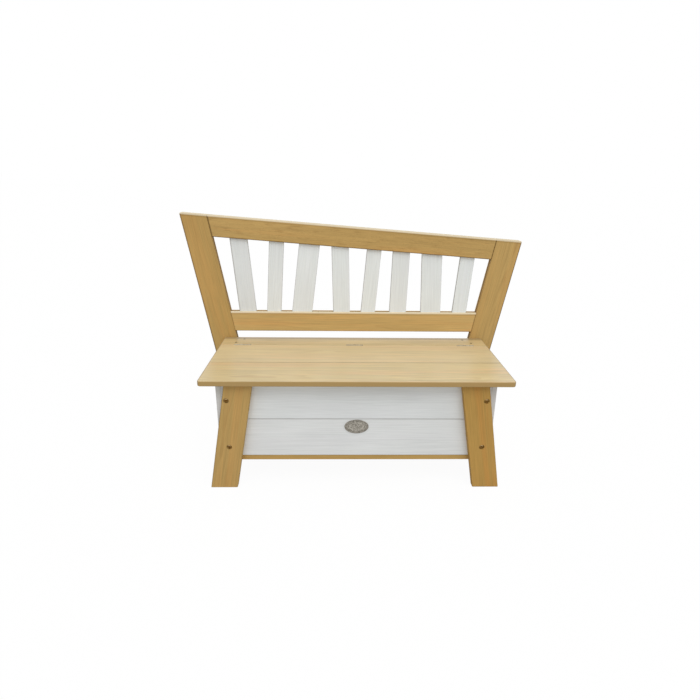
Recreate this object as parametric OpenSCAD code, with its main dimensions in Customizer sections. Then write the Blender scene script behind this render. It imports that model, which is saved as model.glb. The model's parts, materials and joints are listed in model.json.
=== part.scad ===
// Toy storage bench: a lidded box seat on splayed legs, with a raking back of slats.
// Working axes: X runs to the right, Y from the front to the back, Z up from the floor.
// Lengths are in millimetres and angles in degrees.

/* [Seat] */
// Width of the seat from end to end
seat_w = 900; // [840:1:1000]
// Height of the seat's surface above the floor
seat_h = 358; // [320:1:400]
// Thickness of the seat boards
seat_t = 15.5; // [12:0.5:18]
// Depth of the lid's front board
lid_front_d = 151.5; // [130:0.5:170]
// Depth of the lid's rear board
lid_rear_d = 160; // [140:0.5:180]
// Depth of the fixed plank behind the lid
plank_d = 83; // [74:0.5:100]
// Gap between the two boards of the lid
lid_board_gap = 0.5; // [0.3:0.1:1.5]
// Radius along the seat's front and rear edges
seat_edge_r = 2; // [1:0.5:5]
// Radius of the seat's two front corners
seat_corner_r = 9; // [4:0.5:14]
// Radius along the edges of seat boards that lie side by side
joint_edge_r = 1; // [0.5:0.1:2]

/* [Box] */
// How far the seat reaches past the box at each end
end_overhang = 41; // [34:1:50]
// How far the lid reaches past the front of the box
front_overhang = 40; // [34:1:60]
// Height of the floor boards' underside above the ground
floor_z = 84; // [60:1:100]
// Thickness of the floor boards
floor_t = 16; // [12:1:20]
// Thickness of the front, side and back boards
board_t = 15; // [12:1:18]
// Gap between boards that lie edge to edge
board_gap = 0.5; // [0.3:0.1:1.5]
// Width of the square corner battens
batten_w = 30; // [26:1:36]
// How far the back boards reach past the box at each end
back_reach = 31; // [24:1:33]
// Gap between the fixed plank and the posts behind it
plank_clear = 0.5; // [0.3:0.1:2]

/* [Lid battens] */
// Width of a batten under the lid
cleat_w = 40; // [30:1:60]
// Thickness of a batten under the lid
cleat_t = 16; // [12:1:20]
// Distance of the outer battens' middles from the seat's ends
cleat_inset = 190; // [150:1:270]
// Free length left between a batten's ends and the edges of the opening
cleat_clear = 8; // [5:0.5:20]

// Distance of a batten's screws from the edges of the boards that it crosses
cleat_screw_inset = 20; // [12:1:30]

/* [Legs and posts] */
// Lean of the legs and posts away from upright
lean = 10; // [8:0.5:11]
// Width of a front leg, square to its length
leg_w = 79; // [70:1:90]
// Thickness of a front leg
leg_t = 22; // [18:1:28]
// How far the seat reaches past the outer corner of a front foot
foot_inset = 10; // [0:1:14]
// Width of a back post, square to its length
post_w = 85; // [80:1:95]
// Thickness of the back posts and rails
post_t = 27; // [24:1:34]
// How far a post stands outside the seat's end, at the seat's surface
post_outset = 46; // [40:1:52]

/* [Back] */
// Height of the top rail's upper edge at mid width
top_z = 738; // [680:1:780]
// Fall of the top rail to the right
top_slope = 4.1; // [0:0.1:6]
// Height of a rail, square to its length
rail_h = 69; // [55:0.5:74]
// Gap between the seat and the lower rail
rail_gap = 22.5; // [15:0.5:35]
// Width of a narrow slat
narrow_w = 49; // [40:1:54]
// Width of a middling slat
middling_w = 58; // [50:1:62]
// Width of a wide slat
wide_w = 69; // [60:1:74]
// Thickness of the slats
slat_t = 12; // [8:0.5:16]
// Depth that a slat goes into each rail
tenon = 10; // [6:0.5:16]
// Gap around a slat in its mortise
tenon_clear = 0.2; // [0.1:0.05:0.4]

/* [Hinges] */
// Length of a hinge's barrel
hinge_l = 56; // [50:1:60]
// Distance of the outer hinges' middles from the seat's ends
hinge_inset = 75; // [70:1:110]
// Outer radius of the barrel
barrel_r = 2.6; // [2.2:0.1:3]
// Radius of the pin
pin_r = 1; // [0.8:0.05:1.3]
// Radial gap of the pin in its knuckles
pin_clear = 0.05; // [0.02:0.01:0.1]
// Thickness of a leaf
leaf_t = 1.4; // [1.2:0.1:1.6]
// Thickness of leaf left below a sunk screw head
leaf_land = 0.2; // [0.1:0.05:0.4]
// Height of a leaf below the pin
leaf_h = 11; // [10:0.5:11.5]
// Gap between the closed leaves
leaf_gap = 0.4; // [0.3:0.05:0.8]
// Gap between neighbouring knuckles, and round a barrel in its slot
knuckle_gap = 0.4; // [0.3:0.05:0.8]
// Depth that a leaf is let into its board
leaf_sink = 1.3; // [0.4:0.1:1.4]
// Thickness of the head at each end of a pin
pin_head_t = 0.8; // [0.5:0.1:1.2]
// Radius of the head at each end of a pin
pin_head_r = 1.9; // [1.5:0.1:2.1]

/* [Bolts] */
// Radius of a bolt's shank
bolt_r = 3; // [2.5:0.5:4]
// Radius of a bolt's head
bolt_head_r = 5.5; // [5:0.1:6]
// Thickness of a bolt's head
bolt_head_t = 5; // [3:0.5:6]
// Width of the socket in a bolt's head, across its flats
socket_flats = 5; // [4:0.5:6]
// Depth of the socket in a bolt's head
socket_d = 2.5; // [1.5:0.5:2.5]
// Radius of the sunk hole for a bolt's head
sink_r = 8; // [6.3:0.1:8.5]
// Depth of the sunk hole for a bolt's head
sink_d = 8; // [6:0.5:10]
// Radial gap of a bolt in its hole
bolt_clear = 0.3; // [0.1:0.05:0.6]
// Radial gap of a bolt in its nut
nut_clear = 0.05; // [0.03:0.01:0.2]
// Width of a nut across its flats
nut_flats = 10; // [8.5:0.5:11]
// Thickness of a nut
nut_t = 5; // [4:0.5:7]
// Length of bolt that shows past its nut
bolt_tip = 3; // [1:0.5:6]
// Distance of the leg bolts inwards from the middle of the corner battens
leg_bolt_in = 2.8; // [0:0.2:6]
// Height of the lower bolt in a front leg
leg_bolt_low_z = 139; // [134:1:150]
// Height of the upper bolt in a front leg
leg_bolt_high_z = 290; // [284:1:300]
// Height of the lower bolt in a back post
post_bolt_low_z = 150; // [146:1:165]
// Height of the upper bolt in a back post
post_bolt_high_z = 290; // [270:1:300]
// Distance of the lower post bolts from the side boards
post_bolt_low_in = 8.5; // [7:0.5:11]
// Distance of the upper post bolts outside the side boards
post_bolt_high_out = 13; // [10:0.5:15]

/* [Screws and dowels] */
// Radius of a screw's shank
screw_r = 2; // [1.5:0.1:2.2]
// Radius of a screw's head
screw_head_r = 4; // [3.5:0.1:4.2]
// Depth of a screw's sunk head
screw_head_t = 2.4; // [1.5:0.1:3]
// Radial gap of a screw in the wood
screw_clear = 0.1; // [0.05:0.05:0.2]
// Length of a screw through a corner batten
batten_screw_l = 40; // [38:0.5:40.5]
// Length of a screw through a floor board or the fixed plank
long_screw_l = 36; // [30:0.5:40]
// Length of a screw through a batten of the lid
cleat_screw_l = 26; // [24:0.5:27]
// Length of a hinge screw
hinge_screw_l = 14; // [10:0.5:18]
// Radius of a hinge screw's shank
hinge_screw_r = 1.1; // [0.9:0.1:1.4]
// Radius of a hinge screw's head
hinge_screw_head_r = 2.2; // [1.8:0.1:2.6]
// Distance of the batten screws from a board's edges
screw_edge = 20; // [17:1:22]
// Rise of the side screws above the front and back screws
screw_rise = 7; // [6:0.5:8]
// Distance of the front and back screws from the corner battens' middles, inwards
screw_shift = 6; // [5:0.5:8]
// Distance between the two screws at a floor board's end
floor_screw_pitch = 60; // [40:1:64]
// Distance of the fixed plank's front screw behind the plank's front edge
plank_screw_y = 26; // [20:1:30]
// Distance of the fixed plank's corner screws behind the rear battens' middles
plank_screw_shift = 7; // [6:0.5:8]
// Distance between a hinge leaf's two screws
hinge_screw_pitch = 36; // [30:1:40]
// Radial gap of a hinge screw in its leaf
leaf_screw_clear = 0.05; // [0.05:0.05:0.2]
// Radius of a dowel
dowel_r = 4; // [3:0.5:5]
// Length of a dowel
dowel_l = 40; // [30:1:44]
// Distance between the two dowels of a rail's end
dowel_pitch = 32; // [24:1:36]
// Radial gap of a dowel in its hole
dowel_clear = 0.1; // [0.05:0.05:0.2]

/* [Badge] */
// Width of the oval badge
badge_w = 72; // [60:1:90]
// Height of the oval badge
badge_h = 44.4; // [36:0.2:50]
// Thickness of the badge
badge_t = 2; // [1:0.5:3]
// Width of the badge's raised rim
badge_rim = 3; // [2:0.5:5]
// Depth of the badge's field below its rim
badge_dish = 0.8; // [0.4:0.1:0.9]
// Distance of the badge's top below the joint between the front boards
badge_drop = 1.6; // [1:0.1:10]

/* [Hidden] */

LEFT = -1;
RIGHT = 1;
FRONT = -1;
REAR = 1;
// The board that a hinge leaf is fixed to lies on this side of the pin
ON_LID = -1;
ON_PLANK = 1;

honey = [0.72, 0.57, 0.36];
pale_pine = [0.84, 0.74, 0.58];
whitewash = [0.86, 0.86, 0.84];
raw_pine = [0.80, 0.68, 0.50];
steel = [0.45, 0.43, 0.40];
pewter = [0.62, 0.60, 0.57];

// Facets of a round hole, pin or bolt
round_fn = 48;
// Length by which a cutting shape runs past the face that it opens
cut = 1;

// Seat and lid
seat_half = seat_w / 2;
seat_under = seat_h - seat_t;
lid_d = lid_front_d + lid_board_gap + lid_rear_d;
hinge_gap = leaf_gap + 2 * (leaf_t - leaf_sink);
hinge_y = lid_d + hinge_gap / 2;
plank_y = lid_d + hinge_gap;
seat_d = plank_y + plank_d;

// Box
box_half = seat_half - end_overhang;
side_inner = box_half - board_t;
floor_top = floor_z + floor_t;
board_h = (seat_under - floor_top - board_gap) / 2;
board_bottoms = [floor_top, seat_under - board_h];
box_front = front_overhang;
box_back = seat_d + plank_clear;
box_mid_y = (box_front + box_back) / 2;
front_inner = box_front + board_t;
back_inner = box_back - board_t;
batten_x = side_inner - batten_w / 2;
batten_y = front_inner + batten_w / 2;
floor_board_d = (box_back - box_front - 2 * board_gap) / 3;

// Lid battens
cleat_pitch = seat_half - cleat_inset;
cleat_front = front_inner + cleat_clear;
cleat_back = lid_d - cleat_clear;

// Legs, posts and rails
rise = tan(lean);
leg_face = box_front - leg_t;
leg_span = leg_w / cos(lean);
foot_x = seat_half - foot_inset;
post_span = post_w / cos(lean);
post_foot_x = seat_half + post_outset - rise * seat_h;
post_back = box_back + post_t;
fall = tan(top_slope);
top_rail_drop = rail_h / cos(top_slope);
top_under_z = top_z - top_rail_drop;
lower_rail_z = seat_h + rail_gap;
lower_rail_top = lower_rail_z + rail_h;
slat_mid_z = (lower_rail_top + top_under_z) / 2;
slat_y = box_back + (post_t - slat_t) / 2;
rail_mid_y = box_back + post_t / 2;

// One row for each slat: its place as a share of the opening's half width, its width
// and its lean to the right
slats = [
    [-0.843, middling_w, -4.5],
    [-0.605, narrow_w, 3.7],
    [-0.374, wide_w, 6.9],
    [-0.105, middling_w, -1.6],
    [0.126, narrow_w, 4.5],
    [0.345, middling_w, 1.2],
    [0.590, wide_w, -2],
    [0.841, narrow_w, 4]
];

// Hinges
hinge_pitch = seat_half - hinge_inset;
knuckles = 5;
knuckle_l = hinge_l / knuckles;
leaf_screw_z = seat_h - barrel_r - (leaf_h - barrel_r) / 2;
hinge_head_t = leaf_t - leaf_land;

// Whole bench: the middle of its overall width and depth
top_left_x = post_edge_x(LEFT, top_z, 0);
top_right_x = post_edge_x(RIGHT, top_z, 0);
centre_x = (top_left_x + top_right_x) / 2;
centre_y = post_back / 2;

// Distance of a post's outer edge from the middle at height z, less an inset towards the middle
function post_x(z, inset) = post_foot_x + rise * z - inset;

// Where a line that falls to the right from z0 at mid width meets a post's edge
function post_edge_x(side, z0, inset) =
    side * (post_foot_x + rise * z0 - inset) / (1 + side * rise * fall);

// Point of that line at x
function on_fall(x, z0) = [x, z0 - fall * x];

// Distance of a front leg's outer edge from the middle at height z
function leg_x(z) = foot_x - rise * z;

// Radius over the corners of a hexagon, from its width across the flats
function hex_r(flats) = flats / 2 / cos(30);

// Moves the bench so that the middle of its footprint is at the origin
module placed() {
    translate([-centre_x, -centre_y, 0]) children();
}

// Mirrors a right-hand piece to the side that is asked for
module sided(side) {
    mirror([side == LEFT ? 1 : 0, 0, 0]) children();
}

// Mirrors a piece of the front right corner of the box to any corner
module cornered(side, end) {
    sided(side)
        translate([0, box_mid_y, 0])
            mirror([0, end == REAR ? 1 : 0, 0])
                translate([0, -box_mid_y, 0]) children();
}

// Extrudes an outline drawn in X and Z from y backwards
module upright(y, thick) {
    translate([0, y + thick, 0]) rotate([90, 0, 0]) linear_extrude(thick) children();
}

// Cylinder along Z, with round facets
module rod(r, l) {
    cylinder(h = l, r = r, $fn = round_fn);
}

// Turns a shape that stands along Z to run backwards from a point
module backwards(at) {
    translate(at) rotate([-90, 0, 0]) children();
}

// Turns a shape that stands along Z to run forwards from a point
module forwards(at) {
    translate(at) rotate([90, 0, 0]) children();
}

// Turns a shape that stands along Z to run to the right from a point
module rightwards(at) {
    translate(at) rotate([0, 90, 0]) children();
}

// Section of a seat board with its front and rear edges rounded, its lower front corner at the origin
module board_section(depth, front_r, rear_r) {
    translate([front_r, 0]) square([depth - front_r - rear_r, seat_t]);
    translate([0, front_r]) square([depth / 2, seat_t - 2 * front_r]);
    translate([depth / 2, rear_r]) square([depth / 2, seat_t - 2 * rear_r]);
    for (z = [front_r, seat_t - front_r]) translate([front_r, z]) circle(front_r, $fn = round_fn);
    for (z = [rear_r, seat_t - rear_r]) translate([depth - rear_r, z]) circle(rear_r, $fn = round_fn);
}

// Seat board across the whole width, with rounded long edges
module seat_board(y, depth, front_r, rear_r) {
    translate([-seat_half, y, seat_under])
        rotate([90, 0, 90]) linear_extrude(seat_w) board_section(depth, front_r, rear_r);
}

// What a rounded front corner of the seat loses
module front_corner_cut(side) {
    sided(side) translate([seat_half - seat_corner_r, 0, seat_under - cut]) difference() {
        translate([0, -cut, 0]) cube([seat_corner_r + cut, seat_corner_r + cut, seat_t + 2 * cut]);
        translate([0, seat_corner_r, -cut]) rod(seat_corner_r, seat_t + 4 * cut);
    }
}

// Sunk-head screw with its head at the origin, or the hole for it when spare is over zero
module screw(l, r = screw_r, head_r = screw_head_r, head_t = screw_head_t, spare = 0) {
    cylinder(h = head_t, r1 = head_r + spare, r2 = r + spare, $fn = round_fn);
    rod(r + spare, l + spare);
    if (spare > 0) translate([0, 0, -cut]) rod(head_r + spare, cut);
}

// Hole for a screw
module screw_hole(l) {
    screw(l, spare = screw_clear);
}

// Bolt with the seat of its head at the origin, long enough for its nut
module bolt(grip) {
    rod(bolt_r, grip + nut_t + bolt_tip);
    difference() {
        translate([0, 0, -bolt_head_t]) rod(bolt_head_r, bolt_head_t);
        translate([0, 0, -bolt_head_t - cut])
            cylinder(h = cut + socket_d, r = hex_r(socket_flats), $fn = 6);
    }
}

// Hole for a bolt and its head, with the seat of the head at the origin
module bolt_hole(grip) {
    rod(bolt_r + bolt_clear, grip + cut);
    translate([0, 0, -sink_d - cut]) rod(sink_r, sink_d + cut);
}

// Nut that stands on the origin
module nut() {
    difference() {
        cylinder(h = nut_t, r = hex_r(nut_flats), $fn = 6);
        translate([0, 0, -cut]) rod(bolt_r + nut_clear, nut_t + 2 * cut);
    }
}

// Places of the front leg bolts, where the heads seat
leg_bolt_grip = leg_t - sink_d + board_t + batten_w;
module at_leg_bolts(extra = 0) {
    for (side = [LEFT, RIGHT], z = [leg_bolt_low_z, leg_bolt_high_z])
        sided(side) backwards([batten_x - leg_bolt_in, leg_face + sink_d + extra, z]) children();
}

// Places of the back post bolts, where the heads seat
post_bolt_low_x = side_inner - post_bolt_low_in;
post_bolt_high_x = box_half + post_bolt_high_out;
post_high_grip = post_t - sink_d + board_t;
post_low_grip = post_high_grip + batten_w;
module at_low_post_bolts(extra = 0) {
    for (side = [LEFT, RIGHT])
        sided(side) forwards([post_bolt_low_x, post_back - sink_d - extra, post_bolt_low_z]) children();
}
module at_high_post_bolts(extra = 0) {
    for (side = [LEFT, RIGHT])
        sided(side) forwards([post_bolt_high_x, post_back - sink_d - extra, post_bolt_high_z]) children();
}

// Places of the screws through the corner battens: forwards or backwards, and sideways
module at_face_screws(side, end) {
    for (bottom = board_bottoms, dz = [screw_edge, board_h - screw_edge])
        cornered(side, end)
            forwards([batten_x - screw_shift, front_inner + batten_w, bottom + dz]) children();
}
module at_side_screws(side, end) {
    for (bottom = board_bottoms, dz = [screw_edge, board_h - screw_edge])
        cornered(side, end)
            rightwards([side_inner - batten_w, batten_y, bottom + dz + screw_rise]) children();
}

// Places of the screws up through the floor boards into the side boards
module at_floor_screws() {
    for (side = [LEFT, RIGHT], i = [0:2], shift = [-0.5, 0.5])
        sided(side)
            translate([
                side_inner + board_t / 2,
                box_front + floor_board_d / 2 + i * (floor_board_d + board_gap) + shift * floor_screw_pitch,
                floor_z
            ]) children();
}

// Places of the screws down through the fixed plank into the side boards and corner battens
module at_plank_screws() {
    for (side = [LEFT, RIGHT]) sided(side) {
        translate([side_inner + board_t / 2, plank_y + plank_screw_y, seat_h])
            rotate([180, 0, 0]) children();
        translate([batten_x, back_inner - batten_w / 2 + plank_screw_shift, seat_h])
            rotate([180, 0, 0]) children();
    }
}

// Places of the screws up through the lid's battens
module at_cleat_screws(i) {
    starts = [cleat_front + cleat_screw_inset, lid_front_d + lid_board_gap + cleat_screw_inset];
    ends = [lid_front_d - cleat_screw_inset, cleat_back - cleat_screw_inset];
    for (y = concat(starts, ends))
        translate([i * cleat_pitch, y, seat_under - cleat_t]) children();
}

// Places of the hinges along the seat, from left to right
module at_hinge(i) {
    translate([i * hinge_pitch, hinge_y, seat_h]) children();
}

// Screws of one hinge leaf, or the holes for them
module leaf_screws(side, spare = 0) {
    for (shift = [-0.5, 0.5])
        mirror([0, side == ON_LID ? 1 : 0, 0])
            backwards([shift * hinge_screw_pitch, leaf_gap / 2, leaf_screw_z - seat_h])
                screw(hinge_screw_l, hinge_screw_r, hinge_screw_head_r, hinge_head_t, spare);
}

// Space that a hinge and its pin take out of the board on one side
module hinge_recess(side) {
    recess_l = hinge_l + 2 * (pin_head_t + knuckle_gap);
    translate([-recess_l / 2, 0, 0]) rightwards([0, 0, 0]) rod(barrel_r + knuckle_gap, recess_l);
    mirror([0, side == ON_LID ? 1 : 0, 0])
        translate([-hinge_l / 2 - knuckle_gap, -cut, -leaf_h - knuckle_gap])
            cube([hinge_l + 2 * knuckle_gap, cut + leaf_gap / 2 + leaf_t, leaf_h + knuckle_gap + cut]);
    leaf_screws(side, screw_clear);
}

// Knuckles of one hinge leaf: the odd ones for the lid, the even ones for the plank
module leaf_knuckles(side, r, extra) {
    for (k = [0:knuckles - 1])
        if (k % 2 == (side == ON_LID ? 1 : 0))
            rightwards([-hinge_l / 2 + k * knuckle_l + knuckle_gap / 2 - extra, 0, 0])
                rod(r, knuckle_l - knuckle_gap + 2 * extra);
}

// One leaf of a hinge with its share of the barrel, the pin's axis along X at the origin
module hinge_leaf(side) {
    difference() {
        union() {
            mirror([0, side == ON_LID ? 1 : 0, 0])
                translate([-hinge_l / 2, leaf_gap / 2, -leaf_h]) cube([hinge_l, leaf_t, leaf_h]);
            leaf_knuckles(side, barrel_r, 0);
        }
        leaf_knuckles(-side, barrel_r + knuckle_gap, knuckle_gap);
        rightwards([-hinge_l / 2 - cut, 0, 0]) rod(pin_r + pin_clear, hinge_l + 2 * cut);
        leaf_screws(side, leaf_screw_clear);
    }
}

// Pin of a hinge with its two heads
module hinge_pin() {
    rightwards([-hinge_l / 2, 0, 0]) rod(pin_r, hinge_l);
    for (x = [-hinge_l / 2 - pin_head_t, hinge_l / 2])
        rightwards([x, 0, 0]) rod(pin_head_r, pin_head_t);
}

module lid_front_board() {
    placed() color(pale_pine) difference() {
        seat_board(0, lid_front_d, seat_edge_r, joint_edge_r);
        for (side = [LEFT, RIGHT]) front_corner_cut(side);
        for (i = [-1:1]) at_cleat_screws(i) screw_hole(cleat_screw_l);
    }
}

module lid_rear_board() {
    placed() color(pale_pine) difference() {
        seat_board(lid_front_d + lid_board_gap, lid_rear_d, joint_edge_r, joint_edge_r);
        for (i = [-1:1]) at_cleat_screws(i) screw_hole(cleat_screw_l);
        for (i = [-1:1]) at_hinge(i) hinge_recess(ON_LID);
    }
}

module lid_batten(i) {
    placed() color(raw_pine) difference() {
        translate([i * cleat_pitch - cleat_w / 2, cleat_front, seat_under - cleat_t])
            cube([cleat_w, cleat_back - cleat_front, cleat_t]);
        at_cleat_screws(i) screw_hole(cleat_screw_l);
    }
}

module lid_batten_screws() {
    placed() color(steel) for (i = [-1:1]) at_cleat_screws(i) screw(cleat_screw_l);
}

module rear_plank() {
    placed() color(pale_pine) difference() {
        seat_board(plank_y, plank_d, joint_edge_r, seat_edge_r);
        for (i = [-1:1]) at_hinge(i) hinge_recess(ON_PLANK);
        at_plank_screws() screw_hole(long_screw_l);
    }
}

module plank_screws() {
    placed() color(steel) at_plank_screws() screw(long_screw_l);
}

module front_board(level) {
    placed() color(whitewash) difference() {
        translate([-side_inner, box_front, board_bottoms[level]]) cube([2 * side_inner, board_t, board_h]);
        at_leg_bolts() bolt_hole(leg_bolt_grip);
        for (side = [LEFT, RIGHT]) at_face_screws(side, FRONT) screw_hole(batten_screw_l);
    }
}

module back_board(level) {
    board_half = box_half + back_reach;
    placed() color(whitewash) difference() {
        translate([-board_half, back_inner, board_bottoms[level]]) cube([2 * board_half, board_t, board_h]);
        at_low_post_bolts() bolt_hole(post_low_grip);
        at_high_post_bolts() bolt_hole(post_high_grip);
        for (side = [LEFT, RIGHT]) at_face_screws(side, REAR) screw_hole(batten_screw_l);
    }
}

module side_board(side, level) {
    placed() color(whitewash) difference() {
        sided(side) translate([side_inner, box_front, board_bottoms[level]])
            cube([board_t, back_inner - box_front, board_h]);
        for (end = [FRONT, REAR]) at_side_screws(side, end) screw_hole(batten_screw_l);
        at_floor_screws() screw_hole(long_screw_l);
        at_plank_screws() screw_hole(long_screw_l);
    }
}

module floor_board(i) {
    placed() color(honey) difference() {
        translate([-box_half, box_front + i * (floor_board_d + board_gap), floor_z])
            cube([2 * box_half, floor_board_d, floor_t]);
        at_floor_screws() screw_hole(long_screw_l);
    }
}

module floor_screws() {
    placed() color(steel) at_floor_screws() screw(long_screw_l);
}

module corner_batten(side, end) {
    placed() color(raw_pine) difference() {
        cornered(side, end)
            translate([side_inner - batten_w, front_inner, floor_top])
                cube([batten_w, batten_w, seat_under - floor_top]);
        at_face_screws(side, end) screw_hole(batten_screw_l);
        at_side_screws(side, end) screw_hole(batten_screw_l);
        if (end == FRONT) at_leg_bolts() bolt_hole(leg_bolt_grip);
        if (end == REAR) at_low_post_bolts() bolt_hole(post_low_grip);
        if (end == REAR) at_plank_screws() screw_hole(long_screw_l);
    }
}

module corner_batten_screws() {
    placed() color(steel) for (side = [LEFT, RIGHT], end = [FRONT, REAR]) {
        at_face_screws(side, end) screw(batten_screw_l);
        at_side_screws(side, end) screw(batten_screw_l);
    }
}

module front_leg(side) {
    placed() color(honey) difference() {
        sided(side) upright(leg_face, leg_t) polygon([
            [leg_x(0), 0],
            [leg_x(seat_under), seat_under],
            [leg_x(seat_under) - leg_span, seat_under],
            [leg_x(0) - leg_span, 0]
        ]);
        at_leg_bolts() bolt_hole(leg_bolt_grip);
    }
}

module leg_bolts() {
    placed() color(steel) at_leg_bolts() bolt(leg_bolt_grip);
}

module leg_bolt_nuts() {
    placed() color(steel) at_leg_bolts(leg_bolt_grip) nut();
}

module back_post(side) {
    outer = on_fall(post_edge_x(side, top_z, 0), top_z);
    inner = on_fall(post_edge_x(side, top_z, post_span), top_z);
    placed() color(honey) difference() {
        upright(box_back, post_t) polygon([
            [side * post_x(0, 0), 0],
            outer,
            inner,
            [side * post_x(0, post_span), 0]
        ]);
        at_low_post_bolts() bolt_hole(post_low_grip);
        at_high_post_bolts() bolt_hole(post_high_grip);
        at_dowels() dowel(dowel_clear);
    }
}

module post_bolts() {
    placed() color(steel) {
        at_low_post_bolts() bolt(post_low_grip);
        at_high_post_bolts() bolt(post_high_grip);
    }
}

module post_bolt_nuts() {
    placed() color(steel) {
        at_low_post_bolts(post_low_grip) nut();
        at_high_post_bolts(post_high_grip) nut();
    }
}

// Dowel centred on the origin, or the hole for it when spare is over zero
module dowel(spare = 0) {
    rightwards([-dowel_l / 2 - spare, 0, 0]) rod(dowel_r + spare, dowel_l + 2 * spare);
}

// Places of the dowels, two across each joint of a rail with a post
module at_dowels() {
    top_mid_z = top_z - top_rail_drop / 2;
    lower_mid_z = lower_rail_z + rail_h / 2;
    for (side = [LEFT, RIGHT], dz = [-dowel_pitch / 2, dowel_pitch / 2]) {
        joint_x = post_edge_x(side, top_mid_z + dz, post_span);
        translate([joint_x, rail_mid_y, top_mid_z + dz - fall * joint_x])
            rotate([0, top_slope, 0]) children();
        translate([side * post_x(lower_mid_z + dz, post_span), rail_mid_y, lower_mid_z + dz]) children();
    }
}

// Outline of one slat with its two tenons, grown by spare on every side
module slat_outline(i, spare = 0) {
    reach = seat_half;
    middle = slats[i][0] * post_x(slat_mid_z, post_span);
    intersection() {
        translate([middle, slat_mid_z])
            rotate(-slats[i][2]) square([slats[i][1] + 2 * spare, top_z], center = true);
        polygon([
            [-reach, lower_rail_top - tenon - spare],
            [reach, lower_rail_top - tenon - spare],
            on_fall(reach, top_under_z + tenon + spare),
            on_fall(-reach, top_under_z + tenon + spare)
        ]);
    }
}

// Mortises of all the slats
module mortises() {
    for (i = [0:len(slats) - 1])
        upright(slat_y - tenon_clear, slat_t + 2 * tenon_clear) slat_outline(i, tenon_clear);
}

module top_rail() {
    placed() color(honey) difference() {
        upright(box_back, post_t) polygon([
            on_fall(post_edge_x(LEFT, top_z, post_span), top_z),
            on_fall(post_edge_x(RIGHT, top_z, post_span), top_z),
            on_fall(post_edge_x(RIGHT, top_under_z, post_span), top_under_z),
            on_fall(post_edge_x(LEFT, top_under_z, post_span), top_under_z)
        ]);
        mortises();
        at_dowels() dowel(dowel_clear);
    }
}

module lower_rail() {
    placed() color(honey) difference() {
        upright(box_back, post_t) polygon([
            [-post_x(lower_rail_z, post_span), lower_rail_z],
            [post_x(lower_rail_z, post_span), lower_rail_z],
            [post_x(lower_rail_top, post_span), lower_rail_top],
            [-post_x(lower_rail_top, post_span), lower_rail_top]
        ]);
        mortises();
        at_dowels() dowel(dowel_clear);
    }
}

module rail_dowels() {
    placed() color(raw_pine) at_dowels() dowel();
}

module slat(i) {
    placed() color(whitewash) upright(slat_y, slat_t) slat_outline(i);
}

module plank_leaf(i) {
    placed() color(steel) at_hinge(i) hinge_leaf(ON_PLANK);
}

module lid_leaf(i) {
    placed() color(steel) at_hinge(i) hinge_leaf(ON_LID);
}

module pin(i) {
    placed() color(steel) at_hinge(i) hinge_pin();
}

module leaf_screw_set(side) {
    placed() color(steel) for (i = [-1:1]) at_hinge(i) leaf_screws(side);
}

// Oval outline
module oval(w, h) {
    polygon([for (a = [0:7.5:359]) [w / 2 * cos(a), h / 2 * sin(a)]]);
}

module badge() {
    placed() color(pewter)
        translate([0, 0, floor_top + board_h - badge_drop - badge_h / 2]) {
            upright(box_front - badge_t + badge_dish, badge_t - badge_dish) oval(badge_w, badge_h);
            upright(box_front - badge_t, badge_dish) difference() {
                oval(badge_w, badge_h);
                oval(badge_w - 2 * badge_rim, badge_h - 2 * badge_rim);
            }
        }
}

lid_front_board();
lid_rear_board();
lid_batten(-1);  // lid_batten_left
lid_batten(0);  // lid_batten_middle
lid_batten(1);  // lid_batten_right
lid_batten_screws();
rear_plank();
plank_screws();
front_board(0);  // front_board_lower
front_board(1);  // front_board_upper
back_board(0);  // back_board_lower
back_board(1);  // back_board_upper
side_board(LEFT, 0);  // side_board_lower_left
side_board(LEFT, 1);  // side_board_upper_left
side_board(RIGHT, 0);  // side_board_lower_right
side_board(RIGHT, 1);  // side_board_upper_right
floor_board(0);  // floor_board_front
floor_board(1);  // floor_board_middle
floor_board(2);  // floor_board_rear
floor_screws();
corner_batten(LEFT, FRONT);  // corner_batten_front_left
corner_batten(RIGHT, FRONT);  // corner_batten_front_right
corner_batten(LEFT, REAR);  // corner_batten_rear_left
corner_batten(RIGHT, REAR);  // corner_batten_rear_right
corner_batten_screws();
front_leg(LEFT);  // front_leg_left
front_leg(RIGHT);  // front_leg_right
leg_bolts();
leg_bolt_nuts();
back_post(LEFT);  // back_post_left
back_post(RIGHT);  // back_post_right
post_bolts();
post_bolt_nuts();
top_rail();
lower_rail();
rail_dowels();
slat(0);  // slat_1
slat(1);  // slat_2
slat(2);  // slat_3
slat(3);  // slat_4
slat(4);  // slat_5
slat(5);  // slat_6
slat(6);  // slat_7
slat(7);  // slat_8
plank_leaf(-1);  // hinge_plank_leaf_left
plank_leaf(0);  // hinge_plank_leaf_middle
plank_leaf(1);  // hinge_plank_leaf_right
lid_leaf(-1);  // hinge_lid_leaf_left
lid_leaf(0);  // hinge_lid_leaf_middle
lid_leaf(1);  // hinge_lid_leaf_right
pin(-1);  // hinge_pin_left
pin(0);  // hinge_pin_middle
pin(1);  // hinge_pin_right
leaf_screw_set(ON_PLANK);  // hinge_plank_screws
leaf_screw_set(ON_LID);  // hinge_lid_screws
badge();
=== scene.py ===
"""Looks for the toy storage bench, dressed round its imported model.

Lengths are in metres and angles in degrees. X runs to the right, Y from the front to the back
and Z up from the floor. Each wooden piece is a plain block with rounded edges, cut back to what
lies in a merged copy of its CAD node, with a grain that follows its own length. The metal pieces
are such copies, with chamfers and recesses, and only the badge is turned anew.
"""

import json
import logging
import math
import random
from collections.abc import Callable, Iterable
from dataclasses import dataclass
from enum import Enum
from typing import Any

import bmesh
import bpy
from mathutils import Matrix, Vector, noise


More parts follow.
